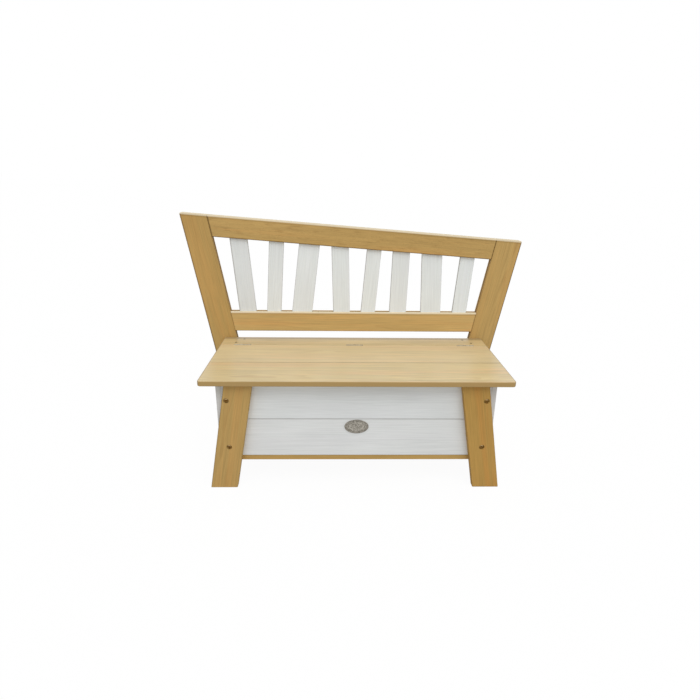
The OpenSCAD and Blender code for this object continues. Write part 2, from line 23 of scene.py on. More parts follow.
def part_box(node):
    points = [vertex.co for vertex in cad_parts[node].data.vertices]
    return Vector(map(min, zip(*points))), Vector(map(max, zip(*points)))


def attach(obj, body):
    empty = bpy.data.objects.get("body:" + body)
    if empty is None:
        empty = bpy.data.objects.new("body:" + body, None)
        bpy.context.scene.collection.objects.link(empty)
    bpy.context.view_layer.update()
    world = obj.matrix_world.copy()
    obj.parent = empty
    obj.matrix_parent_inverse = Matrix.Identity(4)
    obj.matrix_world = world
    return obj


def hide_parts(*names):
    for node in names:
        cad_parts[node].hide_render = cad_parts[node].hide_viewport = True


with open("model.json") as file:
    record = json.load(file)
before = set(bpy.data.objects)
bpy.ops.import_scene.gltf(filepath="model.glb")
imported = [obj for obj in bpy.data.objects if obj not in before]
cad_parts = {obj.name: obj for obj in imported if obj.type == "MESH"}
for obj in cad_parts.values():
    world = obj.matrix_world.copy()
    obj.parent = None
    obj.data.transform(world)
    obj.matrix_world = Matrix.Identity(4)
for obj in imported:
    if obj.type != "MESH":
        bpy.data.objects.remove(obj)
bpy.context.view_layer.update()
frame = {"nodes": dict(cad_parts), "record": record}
BODY_OF = {
    node: body for body, nodes in frame["record"]["behaviour"]["bodies"].items() for node in nodes
}

log = logging.getLogger("bench")

Colour = tuple[float, float, float]
Shape = bmesh.types.BMesh

MILLIMETRE = 0.001
MERGE_DISTANCE = 1e-6
FLAT_ANGLE = math.radians(0.5)
SHARP_ANGLE = math.radians(35)
CORNER_ANGLE = math.radians(40)
HAIR = 1e-5
FAR = 9.0
RUNS_ALONG = 0.8
LOG_LENGTH = 60.0
MIDDLE = 0.5
WHITE = (1.0, 1.0, 1.0)
NO_SEAM = -MILLIMETRE
NO_SEAMS = (NO_SEAM, NO_SEAM)
BOARD_VECTORS = ("grain", "place", "half", "low_seams", "high_seams")
BOARD_LOOKS = ("tone", "figure", "sides", "warmth", "edges")
CREST_MARKS = ("below", "behind")


# Shader maths


class Term:
    """A number that varies over a surface: a socket that takes part in Python expressions."""

    def __init__(self, recipe: "Recipe", socket: bpy.types.NodeSocket) -> None:
        """Wraps a socket.

        Args:
            recipe: The node tree that the socket is in.
            socket: The socket that gives the number.
        """
        self.recipe = recipe
        self.socket = socket

    def __add__(self, other: "Term | float") -> "Term":
        """Adds a term or a number."""
        return self.recipe.maths("ADD", self, other)

    __radd__ = __add__

    def __mul__(self, other: "Term | float") -> "Term":
        """Multiplies by a term or a number."""
        return self.recipe.maths("MULTIPLY", self, other)

    __rmul__ = __mul__

    def __sub__(self, other: "Term | float") -> "Term":
        """Takes away a term or a number."""
        return self.recipe.maths("SUBTRACT", self, other)

    def __rsub__(self, other: float) -> "Term":
        """Takes this term away from a number."""
        return self.recipe.maths("SUBTRACT", other, self)

    def __truediv__(self, other: "Term | float") -> "Term":
        """Divides by a term or a number."""
        return self.recipe.maths("DIVIDE", self, other)

    def __pow__(self, other: float) -> "Term":
        """Raises to a power."""
        return self.recipe.maths("POWER", self, other)

    def root(self) -> "Term":
        """Returns the square root."""
        return self.recipe.maths("SQRT", self)

    def whole(self) -> "Term":
        """Returns the whole part."""
        return self.recipe.maths("FLOOR", self)

    def part(self) -> "Term":
        """Returns what is left after the whole part."""
        return self.recipe.maths("FRACT", self)

    def least(self, other: "Term | float") -> "Term":
        """Returns the smaller of two."""
        return self.recipe.maths("MINIMUM", self, other)

    def most(self, other: "Term | float") -> "Term":
        """Returns the larger of two."""
        return self.recipe.maths("MAXIMUM", self, other)

    def rise(self, low: float, high: float) -> "Term":
        """Returns 0 below low and 1 above high, with a smooth step between them.

        Args:
            low: Value at which the step starts.
            high: Value at which it ends.

        Returns:
            The step, from 0 to 1.
        """
        node = self.recipe.node(
            "ShaderNodeMapRange",
            {"interpolation_type": "SMOOTHSTEP"},
            {"Value": self, "From Min": low, "From Max": high},
        )
        return Term(self.recipe, node.outputs["Result"])


class Recipe:
    """A node tree in the making."""

    def __init__(self, owner: bpy.types.Material | bpy.types.World) -> None:
        """Empties the owner's node tree.

        Args:
            owner: The material or world that the nodes are for.
        """
        owner.use_nodes = True
        self.tree = owner.node_tree
        self.tree.nodes.clear()

    def node(
        self,
        kind: str,
        settings: dict[str, Any] | None = None,
        sockets: dict[str | int, Any] | None = None,
    ) -> bpy.types.Node:
        """Adds a node.

        Args:
            kind: The node's type.
            settings: The node's own properties, such as an operation.
            sockets: Values or links of its inputs, by name or by place.

        Returns:
            The new node.
        """
        made = self.tree.nodes.new(kind)
        for name, value in (settings or {}).items():
            setattr(made, name, value)
        for key, value in (sockets or {}).items():
            entry = made.inputs[key]
            if isinstance(value, Term):
                value = value.socket
            if isinstance(value, bpy.types.NodeSocket):
                self.tree.links.new(value, entry)
            elif entry.type == "RGBA" and len(value) == 3:
                entry.default_value = (*value, 1.0)
            else:
                entry.default_value = value
        return made

    def maths(self, operation: str, *terms: Term | float) -> Term:
        """Adds a Math node.

        Args:
            operation: Its operation.
            terms: Its inputs, in order.

        Returns:
            Its result.
        """
        made = self.node("ShaderNodeMath", {"operation": operation}, dict(enumerate(terms)))
        return Term(self, made.outputs[0])

    def vector(self, operation: str, *values: Any) -> bpy.types.NodeSocket:
        """Adds a Vector Math node.

        Args:
            operation: Its operation.
            values: Its inputs, in order.

        Returns:
            Its vector.
        """
        made = self.node("ShaderNodeVectorMath", {"operation": operation}, dict(enumerate(values)))
        return made.outputs["Vector"]

    def stretched(self, place: bpy.types.NodeSocket, scale: Colour) -> bpy.types.NodeSocket:
        """Multiplies a place by a scale for each axis.

        Args:
            place: The place to stretch.
            scale: How many units of a pattern lie in a metre along each axis.

        Returns:
            The stretched place.
        """
        return self.vector("MULTIPLY", place, scale)

    def scaled(self, value: bpy.types.NodeSocket, share: Term) -> bpy.types.NodeSocket:
        """Multiplies a colour or a vector by a term."""
        made = self.node("ShaderNodeVectorMath", {"operation": "SCALE"}, {0: value, "Scale": share})
        return made.outputs["Vector"]

    def axes(self, place: bpy.types.NodeSocket) -> tuple[Term, Term, Term]:
        """Splits a vector into its three numbers."""
        made = self.node("ShaderNodeSeparateXYZ", None, {0: place})
        return tuple(Term(self, out) for out in made.outputs)

    def cloud(
        self, place: bpy.types.NodeSocket, detail: float = 2.0, roughness: float = 0.5
    ) -> tuple[Term, bpy.types.NodeSocket]:
        """Adds a noise pattern one unit in size.

        Args:
            place: Where the pattern is read.
            detail: How many finer layers it has.
            roughness: How strong the finer layers are.

        Returns:
            A number that is mostly from 0.3 to 0.7, and a vector of three such numbers.
        """
        made = self.node(
            "ShaderNodeTexNoise",
            None,
            {"Vector": place, "Scale": 1.0, "Detail": detail, "Roughness": roughness},
        )
        return Term(self, made.outputs["Fac"]), made.outputs["Color"]

    def by_chance(self, number: Term) -> Term:
        """Returns a number from 0 to 1 that jumps with each whole number."""
        made = self.node("ShaderNodeTexWhiteNoise", {"noise_dimensions": "1D"}, {"W": number})
        return Term(self, made.outputs["Value"])

    def blend(self, share: Term | float, first: Any, second: Any) -> bpy.types.NodeSocket:
        """Mixes two colours.

        Args:
            share: How much of the second colour shows, from 0 to 1.
            first: A colour or a link.
            second: A colour or a link.

        Returns:
            The mixed colour.
        """
        made = self.node(
            "ShaderNodeMix",
            {"data_type": "RGBA", "clamp_factor": True},
            {0: share, 6: first, 7: second},
        )
        return made.outputs[2]

    def marked(self, name: str) -> bpy.types.Node:
        """Adds a node that reads an attribute of the mesh."""
        return self.node(
            "ShaderNodeAttribute", {"attribute_type": "GEOMETRY", "attribute_name": name}
        )

    def mark(self, name: str) -> Term:
        """Returns an attribute of the mesh that is a number."""
        return Term(self, self.marked(name).outputs["Fac"])

    def own_place(self) -> bpy.types.NodeSocket:
        """Returns the place on the object itself."""
        return self.node("ShaderNodeTexCoord").outputs["Object"]

    def raised(self, height: Term, depth: float, strength: float) -> bpy.types.NodeSocket:
        """Adds a bump.

        Args:
            height: The height of the surface, from 0 to 1.
            depth: What a height of 1 measures, in metres.
            strength: How much of the bump shows.

        Returns:
            The bent normal.
        """
        made = self.node(
            "ShaderNodeBump", None, {"Height": height, "Distance": depth, "Strength": strength}
        )
        return made.outputs["Normal"]

    def end(self, kind: str, sockets: dict[str | int, Any]) -> None:
        """Adds the shader and joins it to the output.

        Args:
            kind: The shader's type.
            sockets: Values or links of its inputs.
        """
        shader = self.node(kind, None, sockets)
        self.node("ShaderNodeOutputMaterial", None, {"Surface": shader.outputs[0]})


# Finishes


@dataclass(frozen=True)
class Pattern:
    """A noise pattern in the wood.

    Attributes:
        along: How many of its units lie in a metre along the grain.
        across: How many lie in a metre across it.
        detail: How many finer layers it has.
        roughness: How strong the finer layers are.
    """

    along: float
    across: float
    detail: float = 2.0
    roughness: float = 0.5

    def read(
        self, recipe: Recipe, in_log: bpy.types.NodeSocket
    ) -> tuple[Term, bpy.types.NodeSocket]:
        """Adds the pattern.

        Args:
            recipe: The material in the making.
            in_log: The place in the log.

        Returns:
            A number that is mostly from 0.3 to 0.7, and a vector of three such numbers.
        """
        place = recipe.stretched(in_log, (self.along, self.across, self.across))
        return recipe.cloud(place, self.detail, self.roughness)

    def number(self, recipe: Recipe, in_log: bpy.types.NodeSocket) -> Term:
        """Returns the pattern's number alone."""
        return self.read(recipe, in_log)[0]

    def wander(
        self, recipe: Recipe, in_log: bpy.types.NodeSocket, reach: float
    ) -> bpy.types.NodeSocket:
        """Adds a vector across the log that wanders.

        Args:
            recipe: The material in the making.
            in_log: The place in the log.
            reach: About twice how far it wanders each way.

        Returns:
            The vector.
        """
        _, vector = self.read(recipe, in_log)
        vector = recipe.vector("SUBTRACT", vector, (MIDDLE,) * 3)
        return recipe.vector("MULTIPLY", vector, (0.0, 2 * reach, 2 * reach))


@dataclass(frozen=True)
class Grain:
    """The grain that all the pine shows. A band says where something starts and where it is full.

    Attributes:
        drift: Bends the years over a long way.
        curl: Bends them over a short way, in a board with figure.
        fibre: The fine fibres.
        broad: Broad bands, which turn warm together with the streaks.
        patch: Large pale and dark patches.
        streak: Narrow pale and dark streaks.
        fleck: Brown flecks, in a board with figure.
        year_curve: How late in a year its dark wood starts.
        year_end: Band, as a share of a year, in which the dark wood ends.
        faintest_year: How strong the dark wood of the faintest year is.
        warm_band: Band of the sum of two patterns in which the wood turns warm.
        fleck_band: Band of the pattern in which the flecks show.
        fleck_share: How strongly the flecks show.
        patch_share: How strongly the patches show.
        fibre_height: How high the fibres stand.
        late_height: How high the dark wood stands.
        depth: What a height of 1 measures.
        fibre_roughness: How much rougher the fibres are.
        late_roughness: How much rougher the dark wood is, or smoother if below 0.
    """

    drift: Pattern = Pattern(2.2, 13.0)
    curl: Pattern = Pattern(17.0, 42.0)
    fibre: Pattern = Pattern(11.0, 620.0, 3.0, 0.6)
    broad: Pattern = Pattern(1.3, 21.0)
    patch: Pattern = Pattern(4.0, 9.0)
    streak: Pattern = Pattern(2.6, 75.0, 3.0, 0.6)
    fleck: Pattern = Pattern(26.0, 160.0, 3.0, 0.55)
    year_curve: float = 2.6
    year_end: tuple[float, float] = (0.9, 1.0)
    faintest_year: float = 0.35
    warm_band: tuple[float, float] = (0.92, 1.24)
    fleck_band: tuple[float, float] = (0.52, 0.74)
    fleck_share: float = 0.5
    patch_share: float = 0.2
    fibre_height: float = 0.9
    late_height: float = 0.5
    depth: float = 0.00022
    fibre_roughness: float = 0.25
    late_roughness: float = -0.06


@dataclass(frozen=True)
class WearAndLight:
    """How all the pine wears, and where highlights and shade are painted on it.

    Attributes:
        edge_band: Distances from an edge at which its dark colour starts and ends to fade.
        edge_fray: How much the fibres break up that line.
        end_band: The same distances at a board's ends.
        end_fray: How much the fibres break up the line there.
        side_shade_blur: How much the line of a narrow side's painted shade is blurred, as a share
        of its distance.
        seam_fray: How much the fibres break up a seam's line.
        seam_blur: How much a seam is blurred, as a share of its width.
        seam_least_blur: How much a seam without width would be blurred.
        highlight_fray: How much the fibres break up the painted highlight's line along a crest, as
            a share of its width.
        highlight_band: Distances below the crest at which the painted highlight starts and ends to
            fade, as shares.
        highlight_share: How strongly the painted highlight shows.
        highlight_blur: How much the painted highlight's rear line is blurred.
        dark_band_start: Distances below the crest at which the darker band starts and is full, as
            shares.
        dark_band_end: Those at which it starts and ends to fade.
        dark_band_share: How strongly the darker band shows.
        edge_roughness: How much rougher the dark edges are.
        flank_roughness: How much rougher the narrow sides are.
        coat_wear: How much of the varnish is gone from the edges and narrow sides.
        coat_roughness: How rough the varnish is.
    """

    edge_band: tuple[float, float] = (0.0002, 0.0017)
    edge_fray: float = 0.0015
    end_band: tuple[float, float] = (0.0008, 0.0036)
    end_fray: float = 0.002
    side_shade_blur: float = 0.6
    seam_fray: float = 0.001
    seam_blur: float = 0.25
    seam_least_blur: float = 0.0006
    highlight_fray: float = 0.5
    highlight_band: tuple[float, float] = (0.75, 1.25)
    highlight_share: float = 0.9
    highlight_blur: float = 0.002
    dark_band_start: tuple[float, float] = (1.0, 1.4)
    dark_band_end: tuple[float, float] = (1.5, 2.2)
    dark_band_share: float = 0.25
    edge_roughness: float = 0.15
    flank_roughness: float = 0.2
    coat_wear: float = 0.8
    coat_roughness: float = 0.32


@dataclass(frozen=True)
class WoodFinish:
    """A pine board's stain or wash, over grain that runs along the board.

    The board's mesh carries its place in the log, its place in the board, the board's half size,
    and how the board is finished, with the light and shade painted on it.

    Attributes:
        slot: The record's material slot.
        early: Colour of the pale wood of each year.
        late: Colour of the dark wood of each year.
        warm: Colour of the warm streaks.
        worn_and_shaded: Colour of the dark edges and seams: wear and dark joints, and painted
            shade.
        late_share: How strongly the dark wood shows, from 0 to 1, as with the other shares.
        warm_share: How strongly the warm streaks show.
        worn_and_shaded_share: How strongly the dark edges show.
        fibre_share: How strongly the fibres show.
        streak_share: How strongly the pale and dark streaks show.
        roughness: How rough the surface is.
        side_shade: Colour of the painted shade on the narrow sides.
        side_shade_share: How strongly that shade shows.
        side_shade_from: Distance from a board's face at which its narrow side takes that shade.
        ends_share: How dark the edges of the ends are beside the other edges.
        seam_share: How strongly the dark seams show.
        coat: How much varnish it has.
        specular: How much it reflects straight on.
        highlight: Colour of the painted highlight along a crest, where light from above catches the
            rounding.
        highlight_width: How far down from its crest the painted highlight reaches.
        light: Tint of a board whose tone is 1: paler wood on some boards, painted light on
            the lower rail and the slats.
        deep: Tint of a board whose tone is -1.
        bump: How much of the grain's relief shows.
        ring: How wide a year is.
        drift: About twice how far the years drift each way.
        curl: About twice how far they curl each way, in a board with figure.
        grain: The grain that all the pine shows.
        wear_and_light: How all the pine wears, and where highlights and shade are painted on it.
    """

    slot: str
    early: Colour
    late: Colour
    warm: Colour
    worn_and_shaded: Colour
    late_share: float
    warm_share: float
    worn_and_shaded_share: float
    fibre_share: float
    streak_share: float
    roughness: float
    side_shade: Colour
    side_shade_share: float
    side_shade_from: float = 0.001
    ends_share: float = 1.0
    seam_share: float = 0.6
    coat: float = 0.0
    specular: float = 0.3
    # Painted highlight along the rounded crest of the posts and rails.
    rubbed: Colour = (0.78, 0.68, 0.49)
    highlight_width: float = 0.0049
    light: Colour = (1.08, 1.08, 1.08)
    deep: Colour = (0.92, 0.92, 0.92)
    bump: float = 0.35
    ring: float = 0.0031
    drift: float = 0.011
    curl: float = 0.024
    grain: Grain = Grain()
    wear_and_light: WearAndLight = WearAndLight()

    def material(self) -> bpy.types.Material:
        """Puts the finish together.

        Returns:
            The finish as a material.
        """
        grain, wear_and_light = self.grain, self.wear_and_light
        made = bpy.data.materials.new(self.slot)
        recipe = Recipe(made)
        in_log = recipe.marked("grain").outputs["Vector"]
        fibre = grain.fibre.number(recipe, in_log) - MIDDLE
        late = self._late_wood(recipe, in_log)
        worn_and_shaded, side_shade, seam = self._edges(recipe, fibre)
        worn_and_shaded = worn_and_shaded * recipe.mark("edges")

        colour = self._bare_wood(recipe, in_log, fibre, late)
        # Painted shade on the narrow sides and ends.
        colour = recipe.blend(side_shade * recipe.mark("sides") * self.side_shade_share, colour, self.side_shade)
        # Dark rounded edges and ends: wear, and painted shade in grooves and under the seat.
        colour = recipe.blend(worn_and_shaded * self.worn_and_shaded_share, colour, self.worn_and_shaded)
        # Dark seams: dark joints, and painted shade at the plank's rear, leg tops and slat sides.
        colour = recipe.blend(seam * self.seam_share, colour, self.worn_and_shaded)
        # Painted highlight along the crest of the posts and rails, and a darker band below it.
        colour = self._painted_crest_highlight(recipe, colour, fibre)
        height = fibre * grain.fibre_height + late * grain.late_height
        rough = self.roughness + fibre * grain.fibre_roughness + late * grain.late_roughness
        rough = rough + worn_and_shaded * wear_and_light.edge_roughness + side_shade * wear_and_light.flank_roughness
        coat = self.coat * (1 - worn_and_shaded.most(side_shade) * wear_and_light.coat_wear) if self.coat else 0.0
        recipe.end(
            "ShaderNodeBsdfPrincipled",
            {
                "Base Color": colour,
                "Roughness": rough,
                "Specular IOR Level": self.specular,
                "Coat Weight": coat,
                "Coat Roughness": wear_and_light.coat_roughness,
                "Normal": recipe.raised(height, grain.depth, self.bump),
            },
        )
        return made

    def _late_wood(self, recipe: Recipe, in_log: bpy.types.NodeSocket) -> Term:
        """Draws the dark wood of each year, which runs round the log's heart.

        Args:
            recipe: The material in the making.
            in_log: The place in the log.

        Returns:
            0 in the pale wood, and up to 1 where a strong year ends.
        """
        grain = self.grain
        bent = recipe.vector("ADD", in_log, grain.drift.wander(recipe, in_log, self.drift))
        curl = grain.curl.wander(recipe, in_log, self.curl)
        bent = recipe.vector("ADD", bent, recipe.scaled(curl, recipe.mark("figure")))
        _, across, depth = recipe.axes(bent)
        years = (across * across + depth * depth).root() / self.ring
        season = years.part()
        chance = recipe.by_chance(years.whole())
        strength = grain.faintest_year + (1 - grain.faintest_year) * chance
        return season**grain.year_curve * (1 - season.rise(*grain.year_end)) * strength

    def _bare_wood(
        self, recipe: Recipe, in_log: bpy.types.NodeSocket, fibre: Term, late: Term
    ) -> bpy.types.NodeSocket:
        """Colours the wood, with its own paleness and painted light, before its edges, sides and
        seams are darkened.

        Args:
            recipe: The material in the making.
            in_log: The place in the log.
            fibre: The pattern of the fibres, round 0.
            late: Where the dark wood is.

        Returns:
            The colour.
        """
        grain = self.grain
        streak = grain.streak.number(recipe, in_log)
        warm = (grain.broad.number(recipe, in_log) + streak).rise(*grain.warm_band)
        fleck = grain.fleck.number(recipe, in_log).rise(*grain.fleck_band)
        patch = grain.patch.number(recipe, in_log)
        colour = recipe.blend(late * self.late_share, self.early, self.late)
        colour = recipe.blend(warm * recipe.mark("warmth") * self.warm_share, colour, self.warm)
        colour = recipe.blend(fleck * recipe.mark("figure") * grain.fleck_share, colour, self.late)
        shade = 1 + fibre * self.fibre_share
        shade = shade + (streak - MIDDLE) * self.streak_share + (patch - MIDDLE) * grain.patch_share
        # The tint: each board's own paler and deeper wood, and painted light on the rail and slats.
        tone = recipe.mark("tone")
        tint = recipe.blend(tone.most(0), WHITE, self.light)
        tint = recipe.blend((tone * -1).most(0), tint, self.deep)
        return recipe.vector("MULTIPLY", recipe.scaled(colour, shade), tint)

    def _edges(self, recipe: Recipe, fibre: Term) -> tuple[Term, Term, Term]:
        """Marks the dark rounded edges, the narrow sides that take painted shade, and the dark
        seams of a board.

        Args:
            recipe: The material in the making.
            fibre: The pattern that breaks up the line.

        Returns:
            1 on the edges, and 0 from about 2 mm inside them, or 4 mm at the ends, then 1 on the
            narrow sides and the ends, where shade is painted, and then 1 on seams.
        """
        wear_and_light = self.wear_and_light
        place = recipe.marked("place").outputs["Vector"]
        half = recipe.marked("half").outputs["Vector"]
        inside = recipe.vector("SUBTRACT", half, recipe.vector("ABSOLUTE", place))
        first, second, third = recipe.axes(inside)
        nearest = first.least(second).most(first.most(second).least(third))
        edges = 1 - (nearest + fibre * wear_and_light.edge_fray).rise(*wear_and_light.edge_band)
        ends = 1 - (first.most(third) + fibre * wear_and_light.end_fray).rise(*wear_and_light.end_band)
        side_shade = third.rise(*(self.side_shade_from * (1 + way * wear_and_light.side_shade_blur) for way in (-1, 1)))
        seam: Term | float = 0.0
        for name, operation in (("low_seams", "ADD"), ("high_seams", "SUBTRACT")):
            distance = recipe.axes(recipe.vector(operation, half, place))
            width = recipe.axes(recipe.marked(name).outputs["Vector"])
            for near, wide in zip(distance[:2], width[:2]):
                blur = wide.most(0) * wear_and_light.seam_blur + wear_and_light.seam_least_blur
                past = (near + fibre * wear_and_light.seam_fray - wide) / blur
                seam = (1 - past.rise(-1.0, 1.0)).most(seam)
        return edges.most(ends * self.ends_share), side_shade, seam

    def _painted_crest_highlight(
        self, recipe: Recipe, colour: bpy.types.NodeSocket, fibre: Term
    ) -> bpy.types.NodeSocket:
        """Paints a highlight along a board's rounded crest, where light from above catches it, and
        darkens a band below it.

        Args:
            recipe: The material in the making.
            colour: The colour so far.
            fibre: The pattern that breaks up the lines.

        Returns:
            The colour with the painted highlight.
        """
        wear_and_light = self.wear_and_light
        fallen = recipe.mark("below") / self.highlight_width + fibre * wear_and_light.highlight_fray
        dark_band = fallen.rise(*wear_and_light.dark_band_start) * (1 - fallen.rise(*wear_and_light.dark_band_end))
        colour = recipe.blend(dark_band * wear_and_light.dark_band_share, colour, self.worn_and_shaded)
        in_front = 1 - recipe.mark("behind").rise(-wear_and_light.highlight_blur, wear_and_light.highlight_blur)
        # The painted highlight, only in front of the reach given for the board.
        rubbed = (1 - fallen.rise(*wear_and_light.highlight_band)) * in_front
        return recipe.blend(rubbed * wear_and_light.highlight_share, colour, self.rubbed)


@dataclass(frozen=True)
class MetalFinish:
    """A plated or cast metal, dulled in patches and, where it has a relief, in the low places: a
    patina on the badge, and painted shade under a painted highlight on the bolts.

    Attributes:
        slot: The record's material slot.
        bright: Colour of the bright metal.
        dull: Colour of the dulled metal.
        roughness: How rough the bright metal is.
        patch: How many patches lie in a metre.
        grit: How many grains of its fine texture lie in a metre.
        bump: How much of that texture's relief shows.
        metallic: How much of it is metal.
        patina_and_shading: How much of the dulling follows the relief, from 0 to 1: patina on the
        badge, painted shade below a painted highlight on the bolts.
        relief: Height in the relief at which it starts to be bright, and at which it is all bright;
        on the bolts, height up each head.
        patch_band: Where in the patches' pattern the dulling starts, and where it is full.
        patch_detail: How many finer layers the patches have.
        patch_roughness: How strong the finer layers are.
        grit_shade: How much the fine texture lightens and darkens the metal.
        dull_roughness: How much rougher the dulled metal is.
        grit_roughness: How much the fine texture changes the roughness.
        grit_depth: How deep the fine texture is.
    """

    slot: str
    bright: Colour
    dull: Colour
    roughness: float
    patch: float
    grit: float
    bump: float
    metallic: float = 1.0
    patina_and_shading: float = 0.0
    relief: tuple[float, float] = (0.0, 1.0)
    patch_band: tuple[float, float] = (0.38, 0.66)
    patch_detail: float = 3.0
    patch_roughness: float = 0.6
    grit_shade: float = 0.24
    dull_roughness: float = 0.16
    grit_roughness: float = 0.2
    grit_depth: float = 0.00012

    def material(self) -> bpy.types.Material:
        """Puts the finish together.

        Returns:
            The finish as a material.
        """
        made = bpy.data.materials.new(self.slot)
        recipe = Recipe(made)
        place = recipe.own_place()
        patch, _ = recipe.cloud(
            recipe.stretched(place, (self.patch,) * 3), self.patch_detail, self.patch_roughness
        )
        grit, _ = recipe.cloud(recipe.stretched(place, (self.grit,) * 3))
        dulled = patch.rise(*self.patch_band)
        # Dulling in low places: patina in the badge's hollows, painted shade and highlight on
        # bolts.
        if self.patina_and_shading:
            low = 1 - recipe.mark("relief").rise(*self.relief)
            dulled = dulled * (1 - self.patina_and_shading) + low * self.patina_and_shading
        gritty = grit - MIDDLE
        colour = recipe.blend(dulled, self.bright, self.dull)
        rough = self.roughness + dulled * self.dull_roughness + gritty * self.grit_roughness
        recipe.end(
            "ShaderNodeBsdfPrincipled",
            {
                "Base Color": recipe.scaled(colour, 1 + gritty * self.grit_shade),
                "Metallic": self.metallic,
                "Roughness": rough,
                "Normal": recipe.raised(grit, self.grit_depth, self.bump),
            },
        )
        return made


HONEY_PINE = WoodFinish(
    slot="honey_pine",
    early=(0.565, 0.370, 0.132),
    late=(0.364, 0.209, 0.069),
    warm=(0.597, 0.307, 0.097),
    # Dark edges and seams: wear, and painted shade.
    worn_and_shaded=(0.13, 0.07, 0.02),
    late_share=0.46,
    warm_share=0.45,
    worn_and_shaded_share=0.65,
    fibre_share=0.6,
    streak_share=0.25,
    roughness=0.5,
    # Painted shade on the narrow sides.
    side_shade=(0.20, 0.105, 0.03),
    side_shade_share=0.8,
    side_shade_from=0.008,
    ends_share=0.5,
    specular=0.06,
    # Painted light: the lower rail is tinted this way for the light the seat throws on it.
    light=(1.25, 1.33, 1.52),
    deep=(0.93, 0.85, 0.66),
)
# Over one stain, the seat's faces are painted paler than its narrow sides: painted light
# and sheen on the top, and painted shade on the edges.
SEAT_PINE = WoodFinish(
    slot="seat_pine",
    early=(0.685, 0.545, 0.285),
    late=(0.42, 0.265, 0.095),
    warm=(0.66, 0.455, 0.235),
    worn_and_shaded=(0.25, 0.165, 0.07),
    late_share=0.62,
    warm_share=0.65,
    worn_and_shaded_share=0.62,
    fibre_share=0.7,
    streak_share=0.55,
    roughness=0.42,
    side_shade=(0.425, 0.268, 0.088),
    side_shade_share=0.9,
    side_shade_from=0.0005,
    coat=0.6,
    specular=0.4,
    light=(1.06, 1.09, 1.22),
    deep=(0.88, 0.86, 0.85),
)
WHITE_WASH = WoodFinish(
    slot="white_wash",
    early=(0.82, 0.83, 0.815),
    late=(0.67, 0.68, 0.67),
    warm=(0.79, 0.785, 0.785),
    worn_and_shaded=(0.42, 0.41, 0.38),
    late_share=0.34,
    warm_share=0.4,
    worn_and_shaded_share=0.3,
    fibre_share=0.28,
    streak_share=0.12,
    roughness=0.55,
    side_shade=(0.60, 0.60, 0.58),
    side_shade_share=0.2,
    ends_share=0.0,
    # Painted light: the slats are tinted this way for the light that falls on the back.
    light=(1.12, 1.19, 1.24),
    deep=(0.94, 0.94, 0.94),
)
RAW_PINE = WoodFinish(
    slot="raw_pine",
    early=(0.66, 0.50, 0.29),
    late=(0.46, 0.28, 0.12),
    warm=(0.64, 0.43, 0.22),
    worn_and_shaded=(0.68, 0.53, 0.33),
    late_share=0.42,
    warm_share=0.3,
    worn_and_shaded_share=0.3,
    fibre_share=0.35,
    streak_share=0.2,
    roughness=0.6,
    side_shade=(0.46, 0.28, 0.12),
    side_shade_share=0.3,
)
# Bolts painted bright on top of each head and dark below it, as a highlight and shade.
BOLT_STEEL = MetalFinish(
    slot="bolt_steel",
    bright=(0.62, 0.44, 0.22),
    dull=(0.22, 0.115, 0.02),
    roughness=0.5,
    patch=420.0,
    grit=2600.0,
    bump=0.12,
    patina_and_shading=0.85,
    relief=(0.62, 0.88),
)
SCREW_STEEL = MetalFinish(
    slot="screw_steel",
    bright=(0.24, 0.20, 0.13),
    dull=(0.14, 0.105, 0.06),
    roughness=0.4,
    patch=500.0,
    grit=2600.0,
    bump=0.1,
)
HINGE_STEEL = MetalFinish(
    slot="hinge_steel",
    bright=(0.43, 0.375, 0.28),
    dull=(0.30, 0.255, 0.18),
    roughness=0.45,
    patch=260.0,
    grit=2400.0,
    bump=0.1,
)
BADGE_PEWTER = MetalFinish(
    slot="badge_pewter",
    bright=(0.585, 0.55, 0.48),
    dull=(0.12, 0.11, 0.09),
    roughness=0.5,
    patch=360.0,
    grit=1500.0,
    bump=0.3,
    patina_and_shading=0.5,
)
FINISHES = (
    HONEY_PINE, SEAT_PINE, WHITE_WASH, RAW_PINE,
    BOLT_STEEL, SCREW_STEEL, HINGE_STEEL, BADGE_PEWTER,
)


# Shaping


def merged(node: str) -> Shape:
    """Copies a CAD node's mesh.

    Args:
        node: The CAD node.

    Returns:
        The copy, with its corners merged and each flat face whole.
    """
    shape = bmesh.new()
    shape.from_mesh(frame["nodes"][node].data)
    bmesh.ops.remove_doubles(shape, verts=shape.verts, dist=MERGE_DISTANCE)
    make_flat(shape)
    shape.normal_update()
    return shape


def make_flat(shape: Shape) -> None:
    """Joins the triangles of each flat face."""
    bmesh.ops.dissolve_limit(
        shape,
        angle_limit=FLAT_ANGLE,
        use_dissolve_boundaries=False,
        verts=shape.verts,
        edges=shape.edges,
    )


def sharp_edges(shape: Shape) -> list[bmesh.types.BMEdge]:
    """Finds the sharp edges.

    Args:
        shape: The piece.

    Returns:
        The edges that stick out, those of holes among them.
    """
    return [
        edge
        for edge in shape.edges
        if edge.is_manifold and edge.is_convex and edge.calc_face_angle(0) > CORNER_ANGLE
    ]


